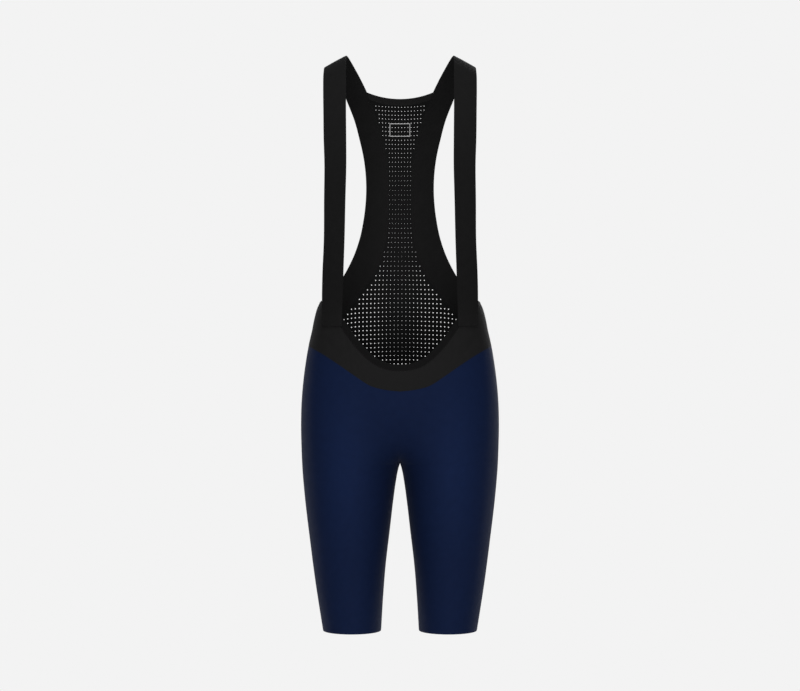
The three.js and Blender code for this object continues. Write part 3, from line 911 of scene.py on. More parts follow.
@dataclass
class NavyShort:
    """The navy front or back: one trunk that forks into two legs."""

    figure: Figure
    side: Side
    node: str
    flat: tuple[float, float]
    area: float
    wall: float = 1.2
    half_columns: int = 64
    upper_rows: int = 26
    fork_rows: int = 26
    leg_rows: int = 70
    # A painted highlight on each thigh and painted shade between the legs, as shares of the colour
    painted_highlight_x: float = 82.0
    painted_highlight_z: float = -600.0
    thigh_painted_highlight: float = 0.28
    painted_highlight_reach: tuple[float, float] = (34.0, 95.0)
    between_legs_painted_shade: float = 0.08
    painted_shade_reach: float = 30.0
    painted_shade_top: float = -540.0
    painted_shade_fade: float = 80.0
    leg_row_power: float = 1.25

    def levels(self) -> np.ndarray:
        """Levels of the fork and of the legs below it.

        Returns:
            The levels from the top down.
        """
        t = np.linspace(0.0, 1.0, self.fork_rows + 1)[1:]
        top = self.figure.fork_top[self.side]
        fork = mix(top, self.figure.crotch_z, np.sin(t * math.pi / 2))
        down = np.linspace(0.0, 1.0, self.leg_rows + 1)[1:]
        return np.concatenate([fork, mix(self.figure.crotch_z, HEM_Z, down**self.leg_row_power)])

    def build(self) -> bpy.types.Object:
        """Builds and dresses the panel.

        Returns:
            The panel.
        """
        figure, side = self.figure, self.side
        seam = TableCurve(column(WAIST_SEAM, 0), column(WAIST_SEAM, 1)) if side is Side.FRONT else back_seam
        sign, turn = signed_turns(self.half_columns)
        top = figure.line_at(seam, turn) - SEAM_GAP / 2
        upper = np.linspace(0.0, 1.0, self.upper_rows + 1)[:, None]
        z = np.concatenate([
            mix(top[None, :], figure.fork_top[side], upper),
            np.broadcast_to(self.levels()[:, None], (self.fork_rows + self.leg_rows, len(turn))),
        ])
        gap = figure.gap(z)
        trunk, leg = np.cos(turn * math.pi / 2), (1 + np.cos(turn * math.pi)) / 2
        x = sign * (gap + (figure.half(z) - gap) * mix(trunk, leg, ease(figure.down_fork(side, z))))
        crotch_row = self.upper_rows + self.fork_rows
        # The centre column parts below the crotch: its twin for the +X leg is kept as an extra column
        x = np.concatenate([x, -x[:, self.half_columns][:, None]], axis=1)
        z = np.concatenate([z, z[:, self.half_columns][:, None]], axis=1)
        points, outs = figure.cloth(side, x, z)
        places = self.places(points[:, :-1])
        places = np.concatenate([places, places[:, self.half_columns][:, None]], axis=1)
        faces = self.faces(points.shape[1], crotch_row)
        used = sorted({index for face in faces for index in face})
        new = {index: i for i, index in enumerate(used)}
        # The panel carries the painted thigh highlight and the painted shade between the legs as a vertex
        # attribute
        made = ClothWall(f"navy_{self.node}", self.wall, 0.25).make(
            points.reshape(-1, 3)[used],
            outs.reshape(-1, 3)[used],
            [[new[index] for index in face] for face in faces],
            places.reshape(-1, 2)[used],
            self.stretch(points.reshape(-1, 3)[used]),
        )
        hand_over(made, NAVY_KNIT, (self.node,))
        return made

    def stretch(self, points: np.ndarray) -> np.ndarray:
        """How much lighter the knit is painted on each thigh, as a painted highlight, and darker between the
        legs, as painted shade.

        Args:
            points: points of the panel.

        Returns:
            The change as a share of the colour.
        """
        far, z = np.abs(points[:, 0]), points[:, 2]
        across, up = self.painted_highlight_reach
        thigh = np.exp(-(((far - self.painted_highlight_x) / across) ** 2 + ((z - self.painted_highlight_z) / up) ** 2))
        between = np.exp(-(((far - self.figure.gap(z)) / self.painted_shade_reach) ** 2))
        between = between * ease((self.painted_shade_top - z) / self.painted_shade_fade)
        return self.thigh_painted_highlight * thigh - self.between_legs_painted_shade * between

    def places(self, points: np.ndarray) -> np.ndarray:
        """Places on the flat cloth: the length round from the centre, and the level.

        Args:
            points: the grid's points.

        Returns:
            The places by row and column.
        """
        flat = grid_places(points).reshape(*points.shape[:2], 2)
        flat[..., 1] = points[..., 2]
        return flat

    def faces(self, columns: int, crotch_row: int) -> list[list[int]]:
        """The panel's faces, with the two legs apart below the crotch.

        Args:
            columns: points in a row, the twin of the centre included.
            crotch_row: the row where the trunk ends.

        Returns:
            The faces.
        """
        centre, twin = self.half_columns, columns - 1
        rows = self.upper_rows + self.fork_rows + self.leg_rows
        faces = []
        for r in range(rows):
            for c in range(columns - 2):
                lower = twin if c == centre and r + 1 > crotch_row else c
                upper = twin if c == centre and r > crotch_row else c
                face = [
                    r * columns + upper,
                    (r + 1) * columns + lower,
                    (r + 1) * columns + c + 1,
                    r * columns + c + 1,
                ]
                faces.append(face if self.side is Side.FRONT else face[::-1])
        return faces


@dataclass
class WaistFront:
    """The black low-cut front of the bib, with its elastic trim and the topstitching at the navy."""

    figure: Figure
    wall: float = 1.2
    half_columns: int = 70
    rows: int = 30
    trim_from: float = 8 / 18
    trim_columns: int = 80
    trim_rows: int = 18
    trim_width: float = 9.5
    trim_wall: float = 1.8
    trim_cords: int = 5
    cord_height: float = 0.22
    cord_sink: float = 0.6
    stitch_width: float = 2.6

    def __post_init__(self) -> None:
        """Draws the panel's two edge lines."""
        self.seam = TableCurve(column(WAIST_SEAM, 0), column(WAIST_SEAM, 1))
        self.edge = TableCurve(column(OPENING_EDGE, 0), column(OPENING_EDGE, 1))

    def build(self) -> None:
        """Builds and dresses the panel, its trim and its stitching."""
        figure = self.figure
        sign, turn = signed_turns(self.half_columns)
        top = figure.line_at(self.edge, turn)
        foot = figure.line_at(self.seam, turn) + SEAM_GAP / 2
        down = np.linspace(0.0, 1.0, self.rows + 1)[:, None]
        z = mix(top[None, :], foot[None, :], down)
        points, outs = figure.around(Side.FRONT, turn * math.pi / 2, z, sign)
        faces = grid_faces(self.rows + 1, len(turn), True)
        panel = ClothWall("waist_panel", self.wall, 0.25).make(points, outs, faces, grid_places(points))
        hand_over(panel, BLACK_KNIT, ("waist_front",))
        row = Thread().sew("waist_topstitch", *running_stitch(points[-2], outs[-2]), BLACK_THREAD)
        self.trim()

    def trim(self) -> None:
        """Builds the corded elastic along the front opening."""
        figure = self.figure
        turn = np.linspace(self.trim_from, 1.0, self.trim_columns + 1)
        turn = np.concatenate([turn, turn[::-1][1:]])
        sign = np.concatenate([-np.ones(self.trim_columns + 1), np.ones(self.trim_columns)])
        z = figure.line_at(self.edge, turn)
        x = figure.half(z) * np.cos(turn * math.pi / 2)
        inside = np.maximum(0.0, x - 1)
        slope = (self.edge(x + 1) - self.edge(inside)) / (x + 1 - inside)
        up = np.linspace(1.0, 0.0, self.trim_rows + 1)[:, None]
        away = mix(SEAM_GAP, self.trim_width, up) / np.hypot(slope, 1.0)
        cords = self.cord_height * (np.abs(np.sin(up * math.pi * self.trim_cords)) - self.cord_sink)
        points, outs = figure.cloth(
            Side.FRONT,
            sign * (x - slope * away * np.minimum(1.0, x)),
            z + away,
            np.broadcast_to(cords, away.shape),
        )
        faces = grid_faces(self.trim_rows + 1, len(turn), True)
        places = grid_places(points)[:, ::-1]
        trim = ClothWall("opening_trim", self.trim_wall, 0.4).make(points, outs, faces, places)
        hand_over(trim, EDGE_ELASTIC, ("front_trim",))
        line = figure.cloth(Side.FRONT, sign * x, z)
        row = Thread().sew("opening_trim_zigzag", *zigzag_stitch(*line, self.stitch_width), BLACK_THREAD)


def catmull_rom(points: np.ndarray, t: float) -> np.ndarray:
    """A point on the centripetal curve through points.

    Args:
        points: the points that it passes.
        t: how far along, from 0 to 1, with the points evenly shared out.

    Returns:
        The point.
    """
    last = len(points) - 1
    i = min(int(math.floor(t * last)), last - 1)
    weight = t * last - i
    p1, p2 = points[i], points[i + 1]
    p0 = points[i - 1] if i > 0 else 2 * p1 - p2
    p3 = points[i + 2] if i + 2 <= last else 2 * p2 - p1
    gaps = [max(float(np.linalg.norm(b - a)) ** 0.5, 1e-4) for a, b in ((p0, p1), (p1, p2), (p2, p3))]
    leave = ((p1 - p0) / gaps[0] - (p2 - p0) / (gaps[0] + gaps[1]) + (p2 - p1) / gaps[1]) * gaps[1]
    arrive = ((p2 - p1) / gaps[1] - (p3 - p1) / (gaps[1] + gaps[2]) + (p3 - p2) / gaps[2]) * gaps[1]
    return (
        p1 + leave * weight
        + (-3 * p1 + 3 * p2 - 2 * leave - arrive) * weight**2
        + (2 * p1 - 2 * p2 + leave + arrive) * weight**3
    )


@dataclass
class Strap:
    """An elastic strap: sewn on the waist, over the shoulder and down the edge of the mesh to the side."""

    figure: Figure
    sign: int
    node: str
    wall: float = 1.3
    columns: int = 12
    base_rows: int = 10
    free_rows: int = 150
    back_rows: int = 130
    crown: float = 0.5
    seam_lift: float = 1.6
    ahead: float = 0.002
    stitch_width: float = 2.4
    band_stitch_from: int = 4

    def __post_init__(self) -> None:
        """Draws the curves of the edges on the back, as angles and levels by station."""
        station = np.arange(len(STRAP_BACK), dtype=float)
        self.last = station[-1]
        self.outer = TableCurve(station, self.edge_angles(0))
        self.outer_z = TableCurve(station, column(STRAP_BACK, 1))
        self.inner = TableCurve(station, self.edge_angles(2))
        self.inner_z = TableCurve(station, column(STRAP_BACK, 3))

    def edge_angles(self, index: int) -> np.ndarray:
        """Angles of one edge of the strap on the back, with its end on the side seam.

        Args:
            index: the column of the edge's x, which its level follows.

        Returns:
            The angles by station.
        """
        x, z = column(STRAP_BACK, index), column(STRAP_BACK, index + 1)
        found = np.arccos(np.minimum(1.0, x / self.figure.half(z)))
        found[-1] = 0.0
        return found

    def back_section(self, station: float, share: np.ndarray) -> tuple[np.ndarray, np.ndarray]:
        """One cross-section on the back.

        Args:
            station: the place down the back.
            share: 0 at the outer edge and 1 at the inner one.

        Returns:
            The points and their outward directions.
        """
        z = mix(self.outer_z(station), self.inner_z(station), share)
        angle = mix(self.outer(station), self.inner(station), share)
        return self.figure.around(Side.BACK, angle, z, float(self.sign))

    def base_section(self, t: float, share: np.ndarray) -> tuple[np.ndarray, np.ndarray]:
        """One cross-section of the end that is sewn on the waist.

        Args:
            t: 0 at the strap's end and 1 where it leaves the waist.
            share: 0 at the outer edge and 1 at the inner one.

        Returns:
            The points and their outward directions.
        """
        row = mix(np.array(STRAP_BASE[0]), np.array(STRAP_BASE[1]), t)
        x, z = mix(row[0], row[2], share), mix(row[1], row[3], share)
        return self.figure.cloth(Side.FRONT, self.sign * x, z, self.seam_lift)

    def free_rows_of(self, share: np.ndarray) -> list[np.ndarray]:
        """Cross-sections of the free strap, on smooth curves through its stations.

        Args:
            share: 0 at the outer edge and 1 at the inner one.

        Returns:
            The cross-sections.
        """
        flip = np.array([self.sign, 1.0, 1.0])
        stations = [self.base_section(t, share)[0] for t in (0.0, 1.0)]
        for row in STRAP_FREE:
            outer, inner = np.array(row[:3]), np.array(row[3:])
            stations.append(mix(outer, inner, share[:, None]) * flip)
        stations += [self.back_section(s, share)[0] for s in (0.0, 1.0)]
        stations = np.array(stations)
        first, last = 1 / (len(stations) - 1), (len(stations) - 2) / (len(stations) - 1)
        bulge = 1 - (2 * share - 1) ** 2
        middle = len(share) // 2
        rows = []
        for t in np.linspace(0.0, 1.0, self.free_rows + 1)[1:-1]:
            at = mix(first, last, t)
            section = catmull_rom(stations, at)
            ahead = catmull_rom(stations, at + self.ahead)[middle] - section[middle]
            out = unit(np.cross(ahead, section[-1] - section[0])) * self.sign
            rows.append(section + out * (self.crown * math.sqrt(math.sin(math.pi * t)) * bulge)[:, None])
        return rows

    def back_stations(self) -> np.ndarray:
        """Stations on the back, evenly spaced along the strap's middle line.

        Returns:
            The stations.
        """
        fine = np.linspace(0.0, self.last, self.back_rows * 4 + 1)
        middle = np.array([self.back_section(s, np.array([0.5]))[0][0] for s in fine])
        reached = reach(middle)
        return np.interp(np.linspace(0.0, reached[-1], self.back_rows + 1), reached, fine)

    def build(self) -> None:
        """Builds and dresses the strap and its stitching."""
        share = np.linspace(0.0, 1.0, self.columns + 1)
        base = [self.base_section(t, share) for t in np.linspace(0.0, 1.0, self.base_rows + 1)]
        back = [self.back_section(s, share) for s in self.back_stations()]
        points = np.array([row[0] for row in base] + self.free_rows_of(share) + [row[0] for row in back])
        along, over = np.gradient(points, axis=0), np.gradient(points, axis=1)
        outs = unit(np.cross(along, over) * self.sign)
        outs[: len(base)] = [row[1] for row in base]
        outs[-len(back):] = [row[1] for row in back]
        faces = grid_faces(len(points), self.columns + 1, self.sign > 0)
        length = reach(points[:, self.columns // 2])
        width = reach(points[len(points) // 3])
        places = np.stack(np.meshgrid(width, -length), axis=-1).reshape(-1, 2)
        strap = ClothWall(f"elastic_{self.node}", self.wall, 0.35).make(points, outs, faces, places)
        hand_over(strap, STRAP_ELASTIC, (self.node,))
        rows = self.stitching(points, outs)

    def stitching(self, points: np.ndarray, outs: np.ndarray) -> list[bpy.types.Object]:
        """Sews the strap's end and its edge at the mesh.

        Args:
            points: the strap's outer face.
            outs: its outward directions.

        Returns:
            The rows of stitches.
        """
        name = self.node.replace("strap_", "")
        last = self.base_rows
        box = np.concatenate([points[last:0:-1, 1], points[1, 1:-1], points[1:last, -2]])
        ways = np.concatenate([outs[last:0:-1, 1], outs[1, 1:-1], outs[1:last, -2]])
        rows = [Thread().sew(f"strap_end_stitch_{name}", *running_stitch(box, ways), BLACK_THREAD)]
        first = self.base_rows + self.free_rows + self.band_stitch_from
        edge, ways = points[first:, -2], outs[first:, -2]
        inside = edge - ways * self.wall
        for face, line, facing in (("outside", edge, ways), ("inside", inside, -ways)):
            stitches = zigzag_stitch(line, facing, self.stitch_width)
            rows.append(Thread().sew(f"band_stitch_{face}_{name}", *stitches, BLACK_THREAD))
        return rows


@dataclass
class MeshBack:
    """The perforated mesh between the straps, its turned neck hem and the plain frame printed inside it."""

    figure: Figure
    edge_of: Strap
    wall: float = 0.8
    hole_sides: int = 12
    hole_margin: float = 0.9
    side_margin: float = 36.0
    side_from: float = 60.0
    side_drop: float = 0.0035
    side_drop_levels: tuple[float, float] = (-280.0, -310.0)
    spine_share: float = 0.54
    spine_width: float = 32.0
    # Levels between which the holes along the spine turn small, and then large again above the navy back
    spine_top: tuple[float, float] = (-250.0, -300.0)
    spine_foot: tuple[float, float] = (-428.0, -452.0)
    first_row_drop: float = 12.0
    last_row_drop: float = 40.0
    edge_step: float = 3.0
    angles: int = 240
    girth_radius: float = 110.0
    hem_wall: float = 1.8
    hem_swell: float = 0.25
    hem_rows: int = 12
    hem_half_columns: int = 50
    foot_half_columns: int = 60
    foot_stitch_lift: float = 2.0
    corner_margin: float = 1.2
    edge_look: float = 0.05
    hem_stitches: tuple[tuple[str, int], ...] = (("upper", 8), ("lower", 11))
    # Level, column pitch, row pitch, the rows' bend, and the radius of the holes, which stretching opens
    lattice: tuple[tuple[float, ...], ...] = (
        (-70, 4.9, 6.0, 0.0016, 0.57), (-110, 4.75, 6.5, 0.0011, 0.50), (-138, 4.65, 6.9, 0.0006, 0.39),
        (-165, 4.6, 7.25, 0.0, 0.31), (-235, 4.65, 7.25, 0.0, 0.31), (-280, 5.3, 7.25, -0.0001, 0.51),
        (-310, 5.6, 7.1, -0.0003, 0.79), (-345, 5.9, 6.9, -0.0006, 0.89), (-390, 5.95, 6.7, -0.0008, 0.88),
        (-450, 5.95, 6.4, -0.0009, 0.86),
    )
    frame_box: tuple[float, float, float, float] = (-15.8, 15.4, -102.5, -83.0)
    frame_line: float = 0.8
    frame_cells: tuple[int, int] = (22, 14)
    frame_thickness: float = 0.12
    frame_gap: float = 0.16
    # Steps along half of the outline: the neck, the strap, the side seam and the navy back's seam
    outline_steps: tuple[int, int, int, int] = (14, 170, 8, 46)
    lattice_half: int = 32
    bend_reach: float = 85.0

    def __post_init__(self) -> None:
        """Measures the figure's back, level by level, for places on the flat cloth."""
        levels = column(self.lattice, 0)
        self.pitch = TableCurve(levels, column(self.lattice, 1))
        self.row_pitch = TableCurve(levels, column(self.lattice, 2))
        self.bend = TableCurve(levels, column(self.lattice, 3))
        self.radius = TableCurve(levels, column(self.lattice, 4))
        self.level_grid = np.arange(-475.0, -20.0, 2.5)
        self.angle_grid = np.linspace(math.pi / 2, 0.0, self.angles)
        z = np.broadcast_to(self.level_grid[:, None], (len(self.level_grid), self.angles))
        x = self.figure.half(z) * np.cos(self.angle_grid)
        points = self.figure.on_figure(Side.BACK, x, z)
        steps = np.linalg.norm(np.diff(points, axis=1), axis=2)
        self.girths = np.concatenate([np.zeros((len(z), 1)), np.cumsum(steps, axis=1)], axis=1)

    def blend_levels(self, z: float) -> tuple[int, float]:
        """The measured level below a height and the share towards the next.

        Args:
            z: the height.

        Returns:
            The level's index and the share.
        """
        at = (z - self.level_grid[0]) / (self.level_grid[1] - self.level_grid[0])
        i = int(np.clip(math.floor(at), 0, len(self.level_grid) - 2))
        return i, at - i

    def girth(self, angle: float, z: float) -> float:
        """Length round the back from the centre to an angle.

        Args:
            angle: a right angle at the centre and 0 at the side seam.
            z: the height.

        Returns:
            The length.
        """
        i, share = self.blend_levels(z)
        back = self.angle_grid[::-1]
        low = np.interp(angle, back, self.girths[i][::-1])
        return float(mix(low, np.interp(angle, back, self.girths[i + 1][::-1]), share))

    def cloth(self, flat: np.ndarray, lift: float = 0.0) -> tuple[np.ndarray, np.ndarray]:
        """Cloth points from places on the flat cloth.

        Args:
            flat: pairs of the length from the centre and the level.
            lift: how far the face lies off the figure.

        Returns:
            The points and their outward directions.
        """
        angle = np.empty(len(flat))
        for k, (length, z) in enumerate(flat):
            i, share = self.blend_levels(z)
            low = np.interp(abs(length), self.girths[i], self.angle_grid)
            angle[k] = mix(low, np.interp(abs(length), self.girths[i + 1], self.angle_grid), share)
        sign = np.where(flat[:, 0] < 0, -1.0, 1.0)
        return self.figure.around(Side.BACK, angle, flat[:, 1], sign, lift)

    def mesh_edge(self, station: float) -> tuple[float, float]:
        """The mesh's edge beside the strap, one seam gap further in.

        Args:
            station: the place down the back.

        Returns:
            The angle and the level.
        """
        strap, last = self.edge_of, self.edge_of.last

        def at(s: float) -> np.ndarray:
            """The strap's inner edge as lengths round and up."""
            return np.array([float(strap.inner(s)) * self.girth_radius, float(strap.inner_z(s))])

        along = unit(at(min(station + self.edge_look, last)) - at(max(station - self.edge_look, 0.0)))
        if station == last:
            along = np.array([-1.0, 0.0])
        return (
            float(strap.inner(station)) - along[1] * SEAM_GAP / self.girth_radius,
            float(strap.inner_z(station)) + along[0] * SEAM_GAP,
        )

    def outline(self) -> np.ndarray:
        """The mesh's outline on the flat cloth, anticlockwise from the top centre.

        Returns:
            Pairs of the length from the centre and the level.
        """
        angle, z = self.mesh_edge(NECK_HEM_STATION)
        top = NECK_CENTRE_Z - NECK_HEM_HEIGHT - SEAM_GAP
        neck, beside, side, foot = self.outline_steps
        half = []
        for t in np.linspace(1.0, 0.0, neck):
            level = float(mix(z, top, 1 - (1 - t) ** 2))
            half.append((self.girth(mix(angle, math.pi / 2, t), level), level))
        for station in np.linspace(NECK_HEM_STATION, self.edge_of.last, beside)[1:]:
            angle, z = self.mesh_edge(float(station))
            half.append((self.girth(angle, z), z))
        corner = half[-1][1]
        for z in np.linspace(corner, SIDE_NAVY_Z, side)[1:]:
            half.append((self.girth(0.0, float(z)), float(z)))
        turn = np.linspace(0.0, 1.0, foot)[1:]
        for t, z in zip(turn, self.figure.line_at(back_seam, turn) + SEAM_GAP / 2):
            half.append((self.girth(t * math.pi / 2, float(z)), float(z)))
        half = np.array(half)
        keep = [0]
        for i in range(1, len(half) - 1):
            if np.hypot(*(half[i] - half[keep[-1]])) > 0.6 * self.edge_step:
                keep.append(i)
        half = half[keep + [len(half) - 1]]
        left = half * np.array([-1.0, 1.0])
        return np.concatenate([left, half[::-1][1:-1]])

    @staticmethod
    def clearance(places: np.ndarray, outline: np.ndarray) -> np.ndarray:
        """How far inside an outline places lie, below 0 outside it.

        Args:
            places: places on the flat cloth.
            outline: the closed outline.

        Returns:
            The distances.
        """
        a, b = outline, np.roll(outline, -1, axis=0)
        run = b - a
        gap = places[:, None] - a[None]
        share = np.clip((gap * run).sum(-1) / (run * run).sum(-1), 0.0, 1.0)
        far = np.linalg.norm(gap - share[..., None] * run, axis=-1).min(axis=1)
        straddles = (a[:, 1] > places[:, None, 1]) != (b[:, 1] > places[:, None, 1])
        rise = np.where(np.abs(run[:, 1]) < 1e-9, 1e-9, run[:, 1])
        cross = a[:, 0] + (places[:, None, 1] - a[:, 1]) / rise * run[:, 0]
        inside = (straddles & (places[:, None, 0] < cross)).sum(axis=1) % 2 == 1
        return np.where(inside, far, -far)

    def lattice_places(self, half_steps: int) -> np.ndarray:
        """Places of the knitted lattice: hole centres, or the corners between them.

        Args:
            half_steps: 0 for the hole centres, 1 for the corners.

        Returns:
            The places.
        """
        rows = [NECK_CENTRE_Z - self.first_row_drop]
        while rows[-1] > BACK_NAVY_CENTRE_Z - self.last_row_drop:
            rows.append(rows[-1] - float(self.row_pitch(rows[-1])))
        rows = np.array(rows)
        if half_steps:
            rows = (rows[:-1] + rows[1:]) / 2
        steps = np.arange(-self.lattice_half, self.lattice_half + 1) + (0.0 if half_steps else 0.5)
        length = steps[None, :] * self.pitch(rows)[:, None]
        near = length**2 / (1 + (length / self.bend_reach) ** 2)
        aside = self.side_drop * np.maximum(0.0, np.abs(length) - self.side_from) ** 2
        start, full = self.side_drop_levels
        aside = aside * ease((start - rows) / (start - full))[:, None]
        level = rows[:, None] + self.bend(rows)[:, None] * near - aside
        return np.stack([length, level], axis=-1).reshape(-1, 2)

    def build(self) -> None:
        """Builds and dresses the mesh, its hem and the printed frame."""
        outline = self.outline()
        centres = self.lattice_places(0)
        (start, small), (large, end) = self.spine_top, self.spine_foot
        level = centres[:, 1]
        slack = ease((start - level) / (start - small)) * ease((level - end) / (large - end))
        spine = 1 - self.spine_share * slack * np.exp(-((centres[:, 0] / self.spine_width) ** 2))
        radius = self.radius(centres[:, 1]) * spine
        to_side = np.interp(centres[:, 1], self.level_grid, self.girths[:, -1]) - np.abs(centres[:, 0])
        clear = (self.clearance(centres, outline) > radius + self.hole_margin) & (to_side > self.side_margin)
        centres, radius = centres[clear], radius[clear]
        corners = self.lattice_places(1)
        corners = corners[self.clearance(corners, outline) > self.corner_margin]
        turn = np.arange(self.hole_sides) * 2 * math.pi / self.hole_sides
        circle = np.stack([np.cos(turn), np.sin(turn)], axis=-1)
        holes = (centres[:, None] + circle[None] * radius[:, None, None]).reshape(-1, 2)
        flat = np.concatenate([outline, holes, corners])
        count, sides = len(outline), self.hole_sides
        edges = [(i, (i + 1) % count) for i in range(count)]
        for hole in range(len(centres)):
            base = count + hole * sides
            edges += [(base + k, base + (k + 1) % sides) for k in range(sides)]
        found = delaunay_2d_cdt([Vector(p) for p in flat.tolist()], edges, [], 1, 1e-6)
        places = np.array([tuple(p) for p in found[0]])
        source = [list(origin) for origin in found[3]]
        hole_of = [(origin[0] - count) // sides if origin and count <= origin[0] < count + len(holes) else -1
                   for origin in source]
        faces = []
        for face in found[2]:
            owners = {hole_of[index] for index in face}
            if len(owners) == 1 and -1 not in owners:
                continue
            a, b, c = (places[index] for index in face)
            turns_left = (b[0] - a[0]) * (c[1] - a[1]) - (b[1] - a[1]) * (c[0] - a[0]) > 0
            faces.append(list(face)[::-1] if turns_left else list(face))
        points, outs = self.cloth(places)
        mesh = ClothWall("mesh_back", self.wall, 0.0).make(points, outs, faces, places)
        hand_over(mesh, MESH_KNIT, ("back_mesh",))
        LOG.info("mesh holes: %d", len(centres))
        rows = [self.foot_stitch()]
        self.hem()
        rows.append(self.printed_frame())

    def foot_stitch(self) -> bpy.types.Object:
        """The topstitching above the seam with the navy back.

        Returns:
            The row of stitches.
        """
        sign, turn = signed_turns(self.foot_half_columns)
        z = self.figure.line_at(back_seam, turn) + self.foot_stitch_lift
        line = self.figure.around(Side.BACK, turn * math.pi / 2, z, sign)
        return Thread().sew("back_topstitch", *running_stitch(*line), BLACK_THREAD)

    def hem(self) -> None:
        """Builds the turned hem across the neckline, with its two rows of stitches."""
        sign, turn = signed_turns(self.hem_half_columns)
        bow = 1 - (1 - turn) ** 2
        grid_points, grid_outs = [], []
        for down in np.linspace(0.0, 1.0, self.hem_rows + 1):
            station = down * NECK_HEM_STATION
            angle, z = self.mesh_edge(float(station))
            z = z + SEAM_GAP * down
            level = mix(z, NECK_CENTRE_Z - NECK_HEM_HEIGHT * down, bow)
            swell = self.hem_swell * math.sin(math.pi * down)
            points, outs = self.figure.around(Side.BACK, mix(angle, math.pi / 2, turn), level, sign, swell)
            grid_points.append(points)
            grid_outs.append(outs)
        points, outs = np.array(grid_points), np.array(grid_outs)
        faces = grid_faces(len(points), len(turn), False)
        places = grid_places(points)[:, ::-1]
        piece = ClothWall("neck_hem_fold", self.hem_wall, 0.5).make(points, outs, faces, places)
        hand_over(piece, NECK_BINDING, ("neck_hem",))
        for name, row in self.hem_stitches:
            inside = points[row] - outs[row] * self.hem_wall
            for ending, line, facing in (("", inside, -outs[row]), ("_outside", points[row], outs[row])):
                stitches = running_stitch(line, facing)
                Thread().sew(f"neck_hem_stitch_{name}{ending}", *stitches, BLACK_THREAD)

    def printed_frame(self) -> bpy.types.Object:
        """Builds the thin pale frame on the inner face, left bare inside.

        Returns:
            The frame.
        """
        left, right, low, high = self.frame_box
        line, (across, up) = self.frame_line, self.frame_cells
        u = np.concatenate([[left], np.linspace(left + line, right - line, across), [right]])
        v = np.concatenate([[high], np.linspace(high - line, low + line, up), [low]])
        flat = np.stack(np.meshgrid(u, v), axis=-1)
        columns = len(u)
        faces = []
        for r in range(len(v) - 1):
            for c in range(columns - 1):
                if 0 < r < len(v) - 2 and 0 < c < columns - 2:
                    continue
                at = r * columns + c
                faces.append([at, at + columns, at + columns + 1, at + 1])
        used = sorted({index for face in faces for index in face})
        new = {index: i for i, index in enumerate(used)}
        places = flat.reshape(-1, 2)[used]
        points, outs = self.cloth(places, -self.wall - self.frame_gap)
        return hand_over(
            ClothWall("plain_label_frame", self.frame_thickness, 0.0).make(
                points, -outs, [[new[index] for index in face] for face in faces], places
            ),
            PALE_PRINT,
        )


@dataclass
class LongSeams:
    """The flatlocked side seams and inseams."""

    figure: Figure
    width: float = 4.2
    pitch: float = 1.6
    parts: int = 119
    top_clear: float = 3.0
    fork_clear: float = 8.0
    hem_clear: float = 1.0

    def build(self) -> None:
        """Sews the side seams from the armholes to the hems, and the inseams."""
        top, foot = SIDE_TOP_Z - self.top_clear, HEM_Z + self.hem_clear
        fork = self.figure.crotch_z - self.fork_clear
        for sign, name in ((-1, "right"), (1, "left")):
            self.seam(f"side_seam_black_{name}", sign, top, SIDE_NAVY_Z, True, BLACK_THREAD)
            self.seam(f"side_seam_{name}", sign, SIDE_NAVY_Z, foot, True, NAVY_THREAD)
            self.seam(f"inseam_{name}", sign, fork, foot, False, NAVY_THREAD)

    def seam(self, name: str, sign: int, top: float, foot: float, outer: bool, finish: Finish) -> None:
        """Sews one long seam.

        Args:
            name: the piece's name.
            sign: -1 or 1, the half that it lies on.
            top: its upper end.
            foot: its lower end.
            outer: whether it is the side seam.
            finish: the thread's finish.
        """
        z = np.linspace(top, foot, self.parts + 1)
        x = sign * (self.figure.half(z) if outer else self.figure.gap(z))
        line = np.stack([x, np.zeros_like(z), z], axis=-1)
        slope = np.gradient(x, z)
        facing = float(sign if outer else -sign)
        outs = unit(np.stack([np.full_like(z, facing), np.zeros_like(z), -slope * facing], axis=-1))
        Thread().sew(name, *zigzag_stitch(line, outs, self.width, self.pitch), finish)


